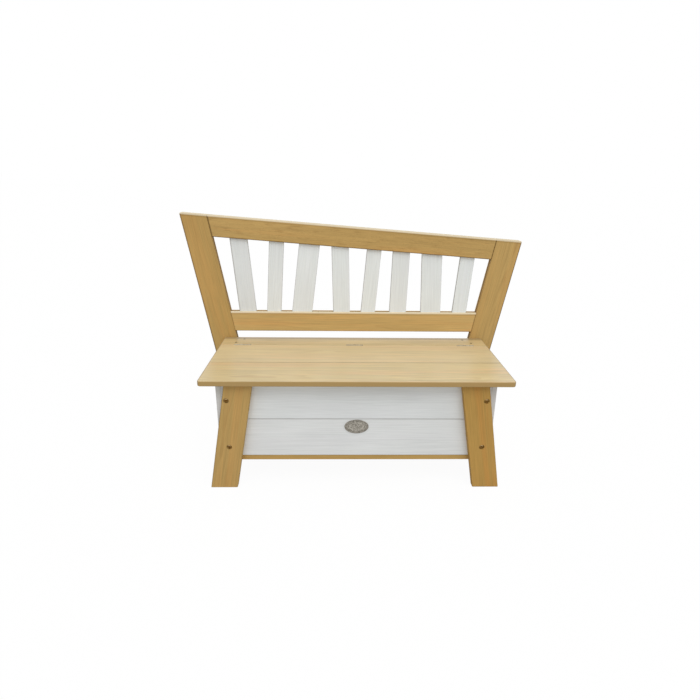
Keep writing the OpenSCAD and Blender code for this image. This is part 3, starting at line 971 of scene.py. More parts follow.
def block_of(holed: Shape, boxed: bool) -> Shape:
    """Returns the plain block that a piece is cut from, a hair smaller than the piece.

    Args:
        holed: The piece, with its holes.
        boxed: Whether the block fills the piece's box, and not only its hull.

    Returns:
        The block, whose faces lie just inside the piece's own.
    """
    block = bmesh.new()
    if boxed:
        low, high = extent(holed.verts)
        place = Matrix.Translation((low + high) / 2) @ Matrix.Diagonal((*(high - low), 1.0))
        bmesh.ops.create_cube(block, size=1.0, matrix=place)
    else:
        for vert in holed.verts:
            block.verts.new(vert.co)
        found = bmesh.ops.convex_hull(block, input=block.verts)
        spare = {item for key in ("geom_interior", "geom_unused") for item in found[key]}
        inner = [item for item in spare if isinstance(item, bmesh.types.BMVert) and item.is_valid]
        bmesh.ops.delete(block, geom=inner, context="VERTS")
        make_flat(block)
    low, high = extent(block.verts)
    shrink = Vector(1 - 2 * HAIR / size for size in high - low)
    bmesh.ops.scale(
        block, vec=shrink, verts=block.verts, space=Matrix.Translation(-(low + high) / 2)
    )
    block.normal_update()
    return block


def extent(verts: Iterable[bmesh.types.BMVert]) -> tuple[Vector, Vector]:
    """Measures some vertices.

    Args:
        verts: The vertices.

    Returns:
        The lowest and the highest corner of their box.
    """
    points = [vert.co for vert in verts]
    low = Vector(min(point[axis] for point in points) for axis in range(3))
    high = Vector(max(point[axis] for point in points) for axis in range(3))
    return low, high


def runs_along(edge: bmesh.types.BMEdge, axis: int) -> bool:
    """Says whether an edge runs mostly along an axis."""
    start, end = (vert.co for vert in edge.verts)
    return abs(end[axis] - start[axis]) > RUNS_ALONG * (end - start).length


def round_over(
    shape: Shape, edges: Iterable[bmesh.types.BMEdge], radius: float, steps: int
) -> None:
    """Rounds edges.

    Args:
        shape: The piece.
        edges: The edges to round.
        radius: The radius of the rounding.
        steps: How many faces it takes.
    """
    bmesh.ops.bevel(
        shape,
        geom=list(edges),
        offset=radius,
        offset_type="OFFSET",
        segments=steps,
        profile=0.5,
        affect="EDGES",
        clamp_overlap=False,
        material=-1,
    )
    shape.normal_update()


def finished(shape: Shape, name: str) -> bpy.types.Object:
    """Turns a shape into an object whose flat faces stay flat and whose roundings are smooth.

    Args:
        shape: The shape, which is freed.
        name: The piece's name.

    Returns:
        The new object, in the scene.
    """
    mesh = bpy.data.meshes.new(name)
    shape.to_mesh(mesh)
    shape.free()
    mesh.shade_smooth()
    mesh.set_sharp_from_angle(angle=SHARP_ANGLE)
    made = bpy.data.objects.new(name, mesh)
    bpy.context.scene.collection.objects.link(made)
    weighted = made.modifiers.new("flat faces", "WEIGHTED_NORMAL")
    weighted.keep_sharp = True
    return made


class Joining(Enum):
    """What becomes of a shape that meets another."""

    CUT_BY = "DIFFERENCE"
    KEPT_IN = "INTERSECT"


def carved(shape: Shape, joining: Joining, other: Shape) -> Shape:
    """Cuts one shape with another.

    Args:
        shape: The piece, which is freed.
        joining: Whether the piece loses the other shape, or keeps only what is in it.
        other: The other shape, which is freed.

    Returns:
        The piece as cut.
    """
    blanks = []
    for name, source in (("blank", shape), ("other", other)):
        mesh = bpy.data.meshes.new(name)
        source.to_mesh(mesh)
        source.free()
        item = bpy.data.objects.new(name, mesh)
        bpy.context.scene.collection.objects.link(item)
        blanks.append(item)
    cut = blanks[0].modifiers.new("cut", "BOOLEAN")
    cut.operation = joining.value
    cut.solver = "EXACT"
    cut.object = blanks[1]
    view = bpy.context.evaluated_depsgraph_get()
    result = bmesh.new()
    result.from_object(blanks[0], view)
    for item in blanks:
        mesh = item.data
        bpy.data.objects.remove(item)
        bpy.data.meshes.remove(mesh)
    result.normal_update()
    return result


# Boards


class Way(Enum):
    """The axes that a board's length, width and thickness lie along."""

    LYING = (0, 1, 2)
    FACING = (0, 2, 1)
    SIDEWAYS = (1, 2, 0)
    UNDER = (1, 0, 2)
    STANDING = (2, 0, 1)


@dataclass(frozen=True)
class Board:
    """A wooden piece.

    Attributes:
        node: The CAD node that it stands for.
        way: How it lies.
        radius: The radius of its long edges.
        end_radius: The radius of the edges round its ends.
        lean: How far its width shifts over a unit of its length.
        pith: Place of its middle across and behind the log's heart.
        tone: How light it is beside its finish, from -1, its deep tint, to 1, its light
        tint: paler wood, and painted light on the lower rail and the slats.
        figure: How much wild brown figure it shows, from 0 to 1.
        sides: How strongly shade is painted on its narrow sides, from 0 to 1.
        warmth: How much of the finish's warm colour it shows, from 0 to 1.
        edges: How dark its rounded edges are, from wear and painted shade, from 0 to 1.
        low_seams: Width of the dark seams at its low end and along its low side, if above 0.
        high_seams: The same at its high end and along its high side.
        splay: Middle of its slanting ends, and how far each moves out over a unit of height, if
            any.
        crest: Height at X 0, and fall, of the upper edge along which a highlight is painted, and
            how
        far back from its front the painted highlight reaches, if any.
        boxed: Whether it is cut from its whole box, past the roundings of its CAD node.
    """

    node: str
    way: Way
    radius: float
    end_radius: float = 0.001
    lean: float = 0.0
    pith: tuple[float, float] = (0.012, 0.055)
    tone: float = 0.0
    figure: float = 0.0
    sides: float = 1.0
    warmth: float = 1.0
    edges: float = 1.0
    low_seams: tuple[float, float] = NO_SEAMS
    high_seams: tuple[float, float] = NO_SEAMS
    splay: tuple[float, float] | None = None
    crest: tuple[float, float, float] | None = None
    boxed: bool = False


@dataclass
class Assembly:
    """What the sub-assemblies share: boards and metal pieces, each in place of a CAD node."""

    materials: dict[str, bpy.types.Material]
    round_steps: int = 4
    chamfer: float = 0.00025
    chamfer_steps: int = 2

    def build(self) -> None:
        """Makes the pieces."""
        raise NotImplementedError

    def settle(self, piece: bpy.types.Object, slot: str, node: str) -> None:
        """Gives a piece its material, its node's body and its slot, and hides the node.

        Args:
            piece: The finished piece.
            slot: The record's material slot.
            node: The CAD node that it stands for.
        """
        piece.data.materials.clear()
        piece.data.materials.append(self.materials[slot])
        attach(piece, BODY_OF[node])
        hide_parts(node)
        log.info("%s: %d faces, rides on %s", piece.name, len(piece.data.polygons), BODY_OF[node])

    def board(
        self,
        board: Board,
        finish: WoodFinish,
        shaped: Callable[[Shape], None] | None = None,
    ) -> bpy.types.Object:
        """Makes a wooden piece.

        Args:
            board: The piece.
            finish: Its stain or wash.
            shaped: What else is done to its shape before its edges are rounded.

        Returns:
            The finished piece.
        """
        holed = merged(board.node)
        shape = block_of(holed, board.boxed)
        if shaped:
            shaped(shape)
        along = board.way.value[0]
        if board.end_radius != board.radius:
            long = [edge for edge in sharp_edges(shape) if runs_along(edge, along)]
            round_over(shape, long, board.radius, self.round_steps)
        round_over(shape, sharp_edges(shape), board.end_radius, self.round_steps)
        shape = carved(shape, Joining.KEPT_IN, holed)
        piece = finished(shape, f"{board.node}_timber")
        mark_grain(piece.data, board)
        self.settle(piece, finish.slot, board.node)
        return piece

    def blunted(self, node: str, chamfer: float) -> Shape:
        """Copies a CAD node's mesh, with the sharp edges broken.

        Args:
            node: The CAD node.
            chamfer: The width of the broken edges.

        Returns:
            The copy.
        """
        shape = merged(node)
        round_over(shape, sharp_edges(shape), chamfer, self.chamfer_steps)
        return shape

    def small(
        self, node: str, finish: WoodFinish | MetalFinish, chamfer: float | None = None
    ) -> bpy.types.Object:
        """Makes a small piece, or a set of them, with the sharp edges broken.

        Args:
            node: The CAD node that it stands for.
            finish: What it is made of.
            chamfer: The width of the broken edges, if not the usual one.

        Returns:
            The finished piece.
        """
        piece = finished(self.blunted(node, chamfer or self.chamfer), f"{node}_set")
        if isinstance(finish, WoodFinish):
            mark_grain(piece.data, Board(node, Way.FACING, self.chamfer))
        self.settle(piece, finish.slot, node)
        return piece

    def bolts(self, node: str) -> bpy.types.Object:
        """Makes a set of bolts, and marks each from 0 at its lowest point to 1 at its highest, so
        that its finish paints it bright on top and dark below, as a highlight and shade.

        Args:
            node: The CAD node that it stands for.

        Returns:
            The finished piece.
        """
        shape = self.blunted(node, self.chamfer)
        relief = shape.verts.layers.float.new("relief")
        for group in separate_solids(shape):
            low, high = extent(group)
            for vert in group:
                vert[relief] = (vert.co.z - low.z) / (high.z - low.z)
        piece = finished(shape, f"{node}_set")
        self.settle(piece, BOLT_STEEL.slot, node)
        return piece


def mark_grain(mesh: bpy.types.Mesh, board: Board) -> None:
    """Writes a board's place in its log and in itself, its half size, and how it is finished.

    Args:
        mesh: The board's mesh.
        board: The board.
    """
    low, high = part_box(board.node)
    size = high - low
    middle = (low + high) / 2
    along, across, through = board.way.value
    half = Vector((
        size[along] / 2,
        (size[across] - abs(board.lean) * size[along]) / 2,
        size[through] / 2,
    ))
    chance = random.Random(board.node)
    start = Vector((chance.uniform(0.0, LOG_LENGTH), *board.pith))
    crest_height, crest_fall, crest_reach = board.crest or (FAR, 0.0, 0.0)
    names = BOARD_VECTORS + BOARD_LOOKS + CREST_MARKS
    for name in names:
        mesh.attributes.new(name, "FLOAT_VECTOR" if name in BOARD_VECTORS else "FLOAT", "POINT")
    marks = {name: mesh.attributes[name].data for name in names}
    for index, vertex in enumerate(mesh.vertices):
        from_middle = vertex.co - middle
        place = Vector((
            from_middle[along],
            from_middle[across] - board.lean * from_middle[along],
            from_middle[through],
        ))
        if board.splay:
            centre, slope = board.splay
            place.x = vertex.co.x - centre
            half.x = centre - low.x - slope * (high.z - vertex.co.z)
        marks["grain"][index].vector = place + start
        marks["place"][index].vector = place
        marks["half"][index].vector = half
        marks["low_seams"][index].vector = (*board.low_seams, 0.0)
        marks["high_seams"][index].vector = (*board.high_seams, 0.0)
        for name in BOARD_LOOKS:
            marks[name][index].value = getattr(board, name)
        marks["below"][index].value = crest_height - crest_fall * vertex.co.x - vertex.co.z
        marks["behind"][index].value = vertex.co.y - low.y - crest_reach


# Sub-assemblies


class Joints(Enum):
    """Whether a seat board's front and rear edges lie against another board."""

    REAR = (False, True)
    BOTH = (True, True)
    FRONT = (True, False)


@dataclass
class Seat(Assembly):
    """What the lid and the fixed plank share: wide boards with rounded outer edges."""

    outer_radius: float = 0.0024
    joint_radius: float = 0.0013
    corner_radius: float = 0.0094
    corner_steps: int = 8
    end_seam: float = 0.0032

    def seat_board(
        self,
        node: str,
        joints: Joints,
        pith: tuple[float, float],
        tone: float,
        rear_dark_band: float,
        edges: float = 1.0,
    ) -> bpy.types.Object:
        """Makes a board of the seat.

        Args:
            node: The CAD node that it stands for.
            joints: Which of its long edges lie against another board.
            pith: Place of its middle across and behind the log's heart.
            tone: How light it is beside its finish.
            rear_dark_band: Width of the dark band along its rear edge, if above 0: a dark joint on
                the
            lid, painted shade on the plank.
            edges: How dark its rounded edges are, from wear and painted shade, from 0 to 1.

        Returns:
            The finished board.
        """

        def shaped(shape: Shape) -> None:
            """Rounds the front corners, and then the edges that lie against no other board.

            Args:
                shape: The board.
            """
            low, high = extent(shape.verts)
            planes = [y for y, beside in zip((low.y, high.y), joints.value) if beside]
            if low.y not in planes:
                corners = [
                    edge
                    for edge in sharp_edges(shape)
                    if all(abs(vert.co.y - low.y) < HAIR for vert in edge.verts)
                    and runs_along(edge, 2)
                ]
                round_over(shape, corners, self.corner_radius, self.corner_steps)
            outer = [
                edge
                for edge in sharp_edges(shape)
                if not any(
                    all(abs(vert.co.y - plane) < HAIR for vert in edge.verts) for plane in planes
                )
            ]
            round_over(shape, outer, self.outer_radius, self.round_steps)

        board = Board(
            node, Way.LYING, self.joint_radius, self.joint_radius,
            pith=pith, tone=tone, edges=edges, boxed=True,
            low_seams=(self.end_seam, NO_SEAM), high_seams=(self.end_seam, rear_dark_band),
        )
        return self.board(board, SEAT_PINE, shaped)


@dataclass
class Lid(Seat):
    """The two boards that swing up, the battens under them, and their screws."""

    batten_radius: float = 0.002

    def build(self) -> None:
        """Makes the lid."""
        self.seat_board(
            "lid_front_board", Joints.REAR, pith=(0.03, 0.075), tone=0.1, rear_dark_band=0.003
        )
        self.seat_board(
            "lid_rear_board", Joints.BOTH, pith=(-0.02, 0.06), tone=0.75, rear_dark_band=NO_SEAM
        )
        for side in ("left", "middle", "right"):
            self.board(Board(f"lid_batten_{side}", Way.UNDER, self.batten_radius), RAW_PINE)
        cross_headed(self, "lid_batten_screws", SCREW_STEEL)


@dataclass
class FixedPlank(Seat):
    """The plank behind the lid, which is screwed down on the box."""

    def build(self) -> None:
        """Makes the plank."""
        # Painted shade in a dark band along the plank's rear edge.
        self.seat_board(
            "rear_plank", Joints.FRONT, pith=(0.05, 0.05), tone=-0.35, rear_dark_band=0.022, edges=0.3
        )
        cross_headed(self, "plank_screws", SCREW_STEEL)


@dataclass(frozen=True)
class Level:
    """One level of the box's walls.

    Attributes:
        name: Which level it is.
        radius: The radius of the long edges of its front and back.
        pith: Place of its boards' middle across and behind the log's heart.
        tone: How light its front and back are beside their finish.
        seam: Width of the dark seam along their lower side, if above 0.
    """

    name: str
    radius: float
    pith: tuple[float, float]
    tone: float
    seam: float


@dataclass
class Box(Assembly):
    """The toy box: whitewashed walls, honey floor boards and raw battens in the corners."""

    wall_radius: float = 0.0014
    floor_radius: float = 0.0015
    batten_radius: float = 0.0015
    levels: tuple[Level, ...] = (
        Level("lower", radius=0.0004, pith=(0.01, 0.06), tone=0.1, seam=NO_SEAM),
        Level("upper", radius=0.0012, pith=(-0.03, 0.08), tone=0.22, seam=0.0019),
    )
    floor_tones: tuple[tuple[str, float], ...] = (("front", -0.3), ("middle", 0.5), ("rear", -0.4))
    floor_warmth: float = 0.5

    def build(self) -> None:
        """Makes the box."""
        for level in self.levels:
            for wall in ("front", "back"):
                self.board(
                    Board(
                        f"{wall}_board_{level.name}", Way.FACING, level.radius, pith=level.pith,
                        tone=level.tone, low_seams=(NO_SEAM, level.seam),
                    ),
                    WHITE_WASH,
                )
            for side in ("left", "right"):
                self.board(
                    Board(
                        f"side_board_{level.name}_{side}", Way.SIDEWAYS, self.wall_radius,
                        pith=level.pith,
                    ),
                    WHITE_WASH,
                )
        for row, tone in self.floor_tones:
            self.board(
                Board(
                    f"floor_board_{row}", Way.LYING, self.floor_radius, tone=tone, sides=0.0,
                    warmth=self.floor_warmth,
                ),
                HONEY_PINE,
            )
        for end in ("front", "rear"):
            for side in ("left", "right"):
                self.board(
                    Board(f"corner_batten_{end}_{side}", Way.STANDING, self.batten_radius),
                    RAW_PINE,
                )
        cross_headed(self, "corner_batten_screws", SCREW_STEEL)
        cross_headed(self, "floor_screws", SCREW_STEEL)


@dataclass
class Legs(Assembly):
    """The two splayed front legs and the bolts that hold them."""

    edge_radius: float = 0.0025
    outline: float = 0.0016
    # Painted shadow that the seat casts on the top of each leg.
    seat_shadow: float = 0.002
    lean: float = math.tan(math.radians(10))
    nut_chamfer: float = 0.0004

    def build(self) -> None:
        """Makes the legs, bolts and nuts."""
        # Each leg takes its own share of painted shade on its narrow sides and edges.
        for leg in (
            Board(
                "front_leg_left", Way.STANDING, self.edge_radius, lean=self.lean, pith=(0.02, 0.06),
                sides=0.0, warmth=0.6, edges=0.3,
                low_seams=(NO_SEAM, self.outline), high_seams=(self.seat_shadow, NO_SEAM),
            ),
            Board(
                "front_leg_right", Way.STANDING, self.edge_radius, lean=-self.lean,
                pith=(-0.04, 0.05), tone=-0.9, sides=0.6, edges=0.75,
                high_seams=(self.seat_shadow, NO_SEAM),
            ),
        ):
            self.board(leg, HONEY_PINE)
        self.bolts("leg_bolts")
        self.small("leg_bolt_nuts", BOLT_STEEL, self.nut_chamfer)


@dataclass
class Back(Assembly):
    """The raking back: two posts, two rails and eight slats."""

    edge_radius: float = 0.0025
    crest_radius: float = 0.004
    rail_end_radius: float = 0.0008
    corner_radius: float = 0.0055
    corner_steps: int = 6
    slat_radius: float = 0.002
    outline: float = 0.0042
    thin_outline: float = 0.0022
    rail_outline: float = 0.0018
    rail_end_seams: tuple[float, float] = (0.004, 0.0024)
    # How far back from the lower rail's front the painted highlight on its crest reaches.
    front_highlight: float = 0.009
    lean: float = math.tan(math.radians(10))
    fall: float = math.tan(math.radians(4.1))
    slat_leans: tuple[float, ...] = (-4.5, 3.7, 6.9, -1.6, 4.5, 1.2, -2.0, 4.0)
    # Each slat's own tone, raised as painted light for the light that falls on the back.
    slat_tones: tuple[float, ...] = (0.34, 0.42, 0.56, 0.6, 0.52, 0.48, 0.58, 0.55)
    # Widths of the painted shade down each slat's left side.
    slat_outlines: tuple[float, ...] = (
        0.0036, 0.0015, 0.0015, 0.002, 0.0016, 0.0006, 0.0006, 0.0006,
    )
    slat_pith: tuple[float, float] = (0.02, 0.05)
    slat_pith_turn: float = 2.4
    nut_chamfer: float = 0.0004
    dowel_chamfer: float = 0.0008

    def build(self) -> None:
        """Makes the back, its dowels and its bolts."""
        self.build_frame()
        self.build_slats()
        self.small("rail_dowels", RAW_PINE, self.dowel_chamfer)
        self.bolts("post_bolts")
        self.small("post_bolt_nuts", BOLT_STEEL, self.nut_chamfer)

    def build_frame(self) -> None:
        """Makes the posts and rails."""
        low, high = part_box("top_rail")
        top_line = (high.z + self.fall * low.x, self.fall, FAR)
        for post in (
            Board(
                "back_post_left", Way.STANDING, self.edge_radius, self.edge_radius,
                lean=-self.lean, pith=(0.03, 0.07), tone=-0.1, warmth=0.5,
                low_seams=(NO_SEAM, self.outline), crest=top_line,
            ),
            Board(
                "back_post_right", Way.STANDING, self.edge_radius, self.edge_radius,
                lean=self.lean, pith=(-0.02, 0.06), tone=0.2, warmth=0.5,
                high_seams=(NO_SEAM, self.thin_outline), crest=top_line,
            ),
        ):
            self.board(post, HONEY_PINE, self.round_top_corner)
        low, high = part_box("lower_rail")
        splay = ((low.x + high.x) / 2, self.lean)
        left_seam, right_seam = self.rail_end_seams
        for rail in (
            Board(
                "top_rail", Way.FACING, self.edge_radius, self.rail_end_radius,
                lean=-self.fall, pith=(0.0, 0.035), tone=0.18, figure=1.0, warmth=0.8,
                low_seams=(left_seam, self.rail_outline), high_seams=(right_seam, NO_SEAM),
                splay=splay, crest=top_line,
            ),
            Board(
                "lower_rail", Way.FACING, self.edge_radius, self.rail_end_radius,
                # Painted light: the seat lights the lower rail, so it is tinted lighter.
                pith=(0.02, 0.06), tone=0.78, warmth=0.8,
                low_seams=(NO_SEAM, self.rail_outline),
                splay=splay, crest=(high.z, 0.0, self.front_highlight),
            ),
        ):
            self.board(rail, HONEY_PINE, self.round_crest)

    def build_slats(self) -> None:
        """Makes the slats, each with its own lean and its own place in the log."""
        across, behind = self.slat_pith
        looks = zip(self.slat_leans, self.slat_tones, self.slat_outlines)
        for number, (degrees, tone, outline) in enumerate(looks, 1):
            self.board(
                Board(
                    f"slat_{number}", Way.STANDING, self.slat_radius,
                    lean=math.tan(math.radians(degrees)),
                    pith=(across * math.sin(number * self.slat_pith_turn), behind),
                    tone=tone, sides=0.0, low_seams=(NO_SEAM, outline),
                ),
                WHITE_WASH,
            )

    def round_crest(self, shape: Shape) -> None:
        """Rounds the upper edges of a rail, which hands rest on.

        Args:
            shape: The rail.
        """
        middle = sum(extent(shape.verts), Vector((0.0, 0.0, 0.0))) / 2
        upper = [
            edge
            for edge in sharp_edges(shape)
            if runs_along(edge, 0)
            and all(vert.co.z + self.fall * vert.co.x > middle.z for vert in edge.verts)
        ]
        round_over(shape, upper, self.crest_radius, self.corner_steps)

    def round_top_corner(self, shape: Shape) -> None:
        """Rounds the corner of a post that points up and outwards.

        Args:
            shape: The post.
        """
        far = max(abs(vert.co.x) for vert in shape.verts)
        corner = [
            edge
            for edge in sharp_edges(shape)
            if all(abs(vert.co.x) > far - MILLIMETRE for vert in edge.verts)
        ]
        round_over(shape, corner, self.corner_radius, self.corner_steps)


@dataclass
class Hinges(Assembly):
    """Three butt hinges, let into the lid and the fixed plank."""

    leaf_chamfer: float = 0.00012

    def build(self) -> None:
        """Makes the leaves, pins and screws."""
        for side in ("left", "middle", "right"):
            self.small(f"hinge_plank_leaf_{side}", HINGE_STEEL, self.leaf_chamfer)
            self.small(f"hinge_pin_{side}", HINGE_STEEL, self.leaf_chamfer)
            self.small(f"hinge_lid_leaf_{side}", HINGE_STEEL, self.leaf_chamfer)
        self.small("hinge_plank_screws", SCREW_STEEL, self.leaf_chamfer)
        self.small("hinge_lid_screws", SCREW_STEEL, self.leaf_chamfer)


@dataclass
class Badge(Assembly):
    """The oval plate on the lower front board: a rim, a ring of beads, a ridge and a bare field."""

    rim: float = 0.003
    dish: float = 0.0008
    crown: float = 0.0002
    ridge: float = 0.0003
    ridge_at: float = 0.62
    ridge_spread: float = 0.04
    bead: float = 0.00035
    beads: int = 38
    beads_at: float = 0.82
    beads_spread: float = 0.075
    dent: float = 0.00012
    dent_share: float = 0.06
    highest: float = 0.00045
    rim_relief: float = 0.3
    spokes: int = 228
    rings: int = 30
    edge_radius: float = 0.0004
    edge_steps: int = 3

    def build(self) -> None:
        """Makes the plate."""
        low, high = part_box("badge")
        middle, half = (low + high) / 2, (high - low) / 2
        inner = 1 - self.rim / half.x
        field_height = high.y - low.y - self.dish
        shape = self.turned(2 * half.y, inner, field_height)
        relief = shape.verts.layers.float.new("relief")
        for vert in shape.verts:
            out, angle = math.hypot(vert.co.x, vert.co.z), math.atan2(vert.co.z, vert.co.x)
            share = min(out / inner, 1.0)
            inset = self.rim * min((1 - out) / (1 - inner), 1.0)
            lift = 0.0
            vert[relief] = self.rim_relief
            if abs(-vert.co.y - field_height) < MERGE_DISTANCE and share < 1.0:
                lift = self.relief(share, angle, vert.co)
                vert[relief] = min(max(lift / self.highest, 0.0), 1.0)
            vert.co = (
                middle.x + (half.x - inset) * share * math.cos(angle),
                high.y + vert.co.y - lift,
                middle.z + (half.z - inset) * share * math.sin(angle),
            )
        bmesh.ops.recalc_face_normals(shape, faces=shape.faces)
        round_over(shape, sharp_edges(shape), self.edge_radius, self.edge_steps)
        piece = finished(shape, "badge_plate")
        self.settle(piece, BADGE_PEWTER.slot, "badge")

    def turned(self, thick: float, inner: float, field_height: float) -> Shape:
        """Turns a round blank whose radius is 1 and which faces the front.

        Args:
            thick: The rim's height.
            inner: The rim's inner radius.
            field_height: The height of the field inside the rim.

        Returns:
            The blank, with its back at Y 0.
        """
        outline = [(0.0, 0.0), (1.0, 0.0), (1.0, thick), (inner, thick)]
        outline += [(inner * ring / self.rings, field_height) for ring in range(self.rings, -1, -1)]
        shape = bmesh.new()
        chain = [shape.verts.new((radius, -height, 0.0)) for radius, height in outline]
        for pair in zip(chain, chain[1:]):
            shape.edges.new(pair)
        bmesh.ops.spin(
            shape,
            geom=shape.verts[:] + shape.edges[:],
            cent=(0.0, 0.0, 0.0),
            axis=(0.0, 1.0, 0.0),
            angle=math.tau,
            steps=self.spokes,
            use_merge=True,
        )
        bmesh.ops.remove_doubles(shape, verts=shape.verts, dist=MERGE_DISTANCE)
        return shape

    def relief(self, share: float, angle: float, place: Vector) -> float:
        """Returns how far the field stands proud at a point.

        Args:
            share: The point's distance from the middle, where 1 is the rim.
            angle: Its direction.
            place: Where the dents' pattern is read.

        Returns:
            The height in metres.
        """
        ridge = math.exp(-(((share - self.ridge_at) / self.ridge_spread) ** 2))
        ring = math.exp(-(((share - self.beads_at) / self.beads_spread) ** 2))
        bead = max(math.cos(self.beads * angle), 0.0)
        dents = self.dent * noise.noise(place / self.dent_share)
        return self.crown * (1 - share**2) + self.ridge * ridge + self.bead * ring * bead + dents


def separate_solids(shape: Shape) -> list[list[bmesh.types.BMVert]]:
    """Finds the solids that a shape holds.

    Args:
        shape: The shape.

    Returns:
        The vertices of each solid.
    """
    shape.verts.ensure_lookup_table()
    seen: set[int] = set()
    groups = []
    for first in shape.verts:
        if first.index in seen:
            continue
        seen.add(first.index)
        group, waiting = [first], [first]
        while waiting:
            vert = waiting.pop()
            for edge in vert.link_edges:
                other = edge.other_vert(vert)
                if other.index not in seen:
                    seen.add(other.index)
                    group.append(other)
                    waiting.append(other)
        groups.append(group)
    return groups


def cross_cutter(shape: Shape, place: Matrix, reach: float) -> None:
    """Adds the cutter for one cross recess.

    Args:
        shape: The cutters so far.
        place: Turns and moves the cutter, which points down its Z, to a screw's head.
        reach: Half the width of the cross.
    """
    above, depth, arm, narrowed, halfway = 0.4, 1.0, 0.62, 0.45, 0.5
    cells = bmesh.ops.create_grid(shape, x_segments=3, y_segments=3, size=1.0)["verts"]
    faces = {face for vert in cells for face in vert.link_faces}
    corners = [face for face in faces if min(map(abs, face.calc_center_median().xy)) > halfway]
    bmesh.ops.delete(shape, geom=corners, context="FACES")
    cells = [vert for vert in cells if vert.is_valid]
    for vert in cells:
        vert.co.x *= arm if abs(vert.co.x) < halfway else 1.0
        vert.co.y *= arm if abs(vert.co.y) < halfway else 1.0
        vert.co.z = above
    flat = list({face for vert in cells for face in vert.link_faces})
    drawn = bmesh.ops.extrude_face_region(shape, geom=flat, use_keep_orig=True)["geom"]
    deep = [item for item in drawn if isinstance(item, bmesh.types.BMVert)]
    bmesh.ops.scale(shape, vec=(narrowed, narrowed, 1.0), verts=deep)
    bmesh.ops.translate(shape, vec=(0.0, 0.0, -above - depth), verts=deep)
    whole = cells + deep
    bmesh.ops.scale(shape, vec=(reach,) * 3, verts=whole)
    bmesh.ops.transform(shape, matrix=place, verts=whole)


def cross_headed(
    assembly: Assembly, node: str, finish: MetalFinish, cross_share: float = 0.58
) -> bpy.types.Object:
    """Makes a set of screws with a cross recess in each head.

    Args:
        assembly: The sub-assembly that the screws belong to.
        node: The CAD node that they stand for.
        finish: Their metal.
        cross_share: The cross's width beside the head's.

    Returns:
        The finished piece.
    """
    shape = merged(node)
    cutters = bmesh.new()
    for group in separate_solids(shape):
        points = [vert.co for vert in group]
        low, high = extent(group)
        axis = max(range(3), key=lambda i: high[i] - low[i])
        round_axes = [i for i in range(3) if i != axis]
        centre = (low + high) / 2
        radius = max(high[i] - low[i] for i in round_axes) / 2
        head = max(points, key=lambda p: math.hypot(*((p - centre)[i] for i in round_axes)))
        outward = Vector((0.0, 0.0, 0.0))
        outward[axis] = math.copysign(1.0, head[axis] - centre[axis])
        seat = centre.copy()
        seat[axis] = high[axis] if outward[axis] > 0 else low[axis]
        turn = outward.to_track_quat("Z", "Y").to_matrix().to_4x4()
        cross_cutter(cutters, Matrix.Translation(seat) @ turn, radius * cross_share)
    bmesh.ops.recalc_face_normals(cutters, faces=cutters.faces)
    piece = finished(carved(shape, Joining.CUT_BY, cutters), f"{node}_set")
    assembly.settle(piece, finish.slot, node)
    return piece


# Studio


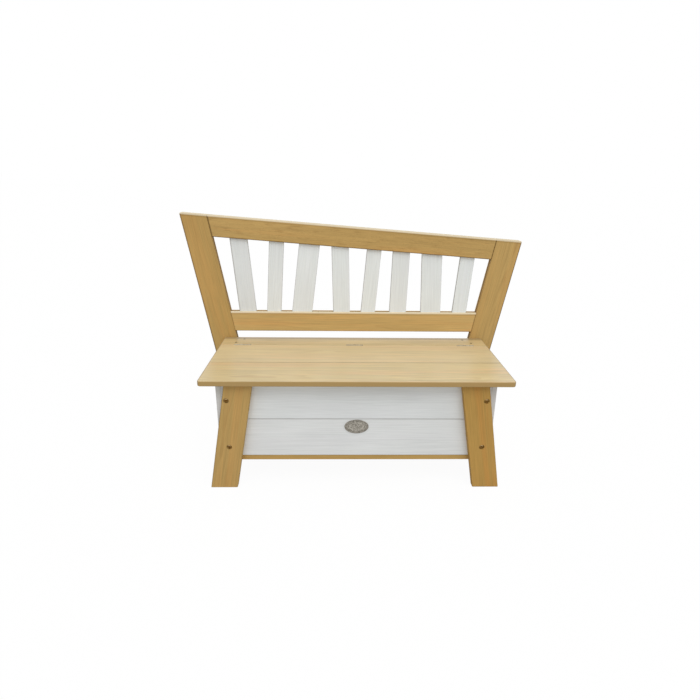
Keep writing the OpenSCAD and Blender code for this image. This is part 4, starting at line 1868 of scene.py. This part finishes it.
@dataclass(frozen=True)
class Studio:
    """The pale floor, the soft light and the photograph's camera."""

    eye: tuple[float, float, float] = (-0.0539, -1.5438, 0.9317)
    pitch: float = 19.750
    yaw: float = 1.606
    roll: float = 0.811
    focal: float = 517.20
    frame_side: float = 700.0
    sensor: float = 36.0
    ambient: float = 0.55
    sun_strength: float = 1.5
    sun_aim: tuple[float, float, float] = (-0.10, 0.47, -0.88)
    sun_angle: float = 50.0
    floor_size: float = 30.0
    floor_colour: Colour = (0.58, 0.58, 0.58)
    floor_glow: float = 0.955

    def build(self) -> None:
        """Makes the camera, light, world and floor."""
        bpy.context.scene.view_settings.view_transform = "Standard"
        self.set_camera()
        self.set_light()
        self.set_world()
        self.lay_floor()

    def set_camera(self) -> None:
        """Stands the camera where the photograph was taken from."""
        pitch, yaw, roll = (math.radians(angle) for angle in (self.pitch, self.yaw, self.roll))
        ahead = Vector((
            math.sin(yaw) * math.cos(pitch), math.cos(yaw) * math.cos(pitch), -math.sin(pitch)
        ))
        right = Vector((math.cos(yaw), -math.sin(yaw), 0.0))
        down = ahead.cross(right)
        level_right = right * math.cos(roll) - down * math.sin(roll)
        level_down = right * math.sin(roll) + down * math.cos(roll)
        turn = Matrix((level_right, -level_down, -ahead)).transposed().to_4x4()
        camera = bpy.data.cameras.new("camera")
        camera.sensor_width = self.sensor
        camera.lens = self.focal / self.frame_side * self.sensor
        holder = bpy.data.objects.new("camera", camera)
        holder.matrix_world = Matrix.Translation(self.eye) @ turn
        bpy.context.scene.collection.objects.link(holder)
        bpy.context.scene.camera = holder

    def set_light(self) -> None:
        """Hangs the wide soft light."""
        lamp = bpy.data.lights.new("soft_light", "SUN")
        lamp.energy = self.sun_strength
        lamp.angle = math.radians(self.sun_angle)
        holder = bpy.data.objects.new("soft_light", lamp)
        holder.matrix_world = Vector(self.sun_aim).to_track_quat("-Z", "Y").to_matrix().to_4x4()
        bpy.context.scene.collection.objects.link(holder)

    @staticmethod
    def seen(recipe: Recipe) -> Term:
        """Tells what is looked at from what is only lit.

        Args:
            recipe: The material or world in the making.

        Returns:
            1 where the camera, a reflection or clear glass looks straight at something.
        """
        path = recipe.node("ShaderNodeLightPath")
        camera, glossy, clear = (
            Term(recipe, path.outputs[name])
            for name in ("Is Camera Ray", "Is Glossy Ray", "Is Transmission Ray")
        )
        return camera.most(glossy).most(clear)

    def set_world(self) -> None:
        """Fills the room with even light, and shows it white."""
        world = bpy.data.worlds.new("room")
        bpy.context.scene.world = world
        recipe = Recipe(world)
        lit = recipe.node("ShaderNodeBackground", None, {"Strength": self.ambient, "Color": WHITE})
        white = recipe.node("ShaderNodeBackground", None, {"Strength": 1.0, "Color": WHITE})
        both = recipe.node(
            "ShaderNodeMixShader",
            None,
            {0: self.seen(recipe), 1: lit.outputs[0], 2: white.outputs[0]},
        )
        recipe.node("ShaderNodeOutputWorld", None, {"Surface": both.outputs[0]})

    def lay_floor(self) -> None:
        """Lays the pale floor, which keeps the bench's shadow."""
        shape = bmesh.new()
        bmesh.ops.create_grid(shape, x_segments=1, y_segments=1, size=self.floor_size)
        mesh = bpy.data.meshes.new("floor")
        shape.to_mesh(mesh)
        shape.free()
        floor = bpy.data.objects.new("floor", mesh)
        bpy.context.scene.collection.objects.link(floor)
        material = bpy.data.materials.new("floor")
        recipe = Recipe(material)
        seen = self.seen(recipe)
        colour = recipe.blend(seen, self.floor_colour, WHITE)
        matt = recipe.node("ShaderNodeBsdfDiffuse", None, {"Color": colour})
        glow = recipe.node("ShaderNodeEmission", None, {"Color": WHITE, "Strength": 1.0})
        recipe.end(
            "ShaderNodeMixShader",
            {0: seen * self.floor_glow, 1: matt.outputs[0], 2: glow.outputs[0]},
        )
        mesh.materials.append(material)


def main() -> None:
    """Dresses the bench and sets up the studio."""
    logging.basicConfig(level=logging.INFO, format="%(message)s")
    Studio().build()
    materials = {finish.slot: finish.material() for finish in FINISHES}
    for kind in (Lid, FixedPlank, Box, Legs, Back, Hinges, Badge):
        kind(materials).build()


if __name__ == "__main__":
    main()
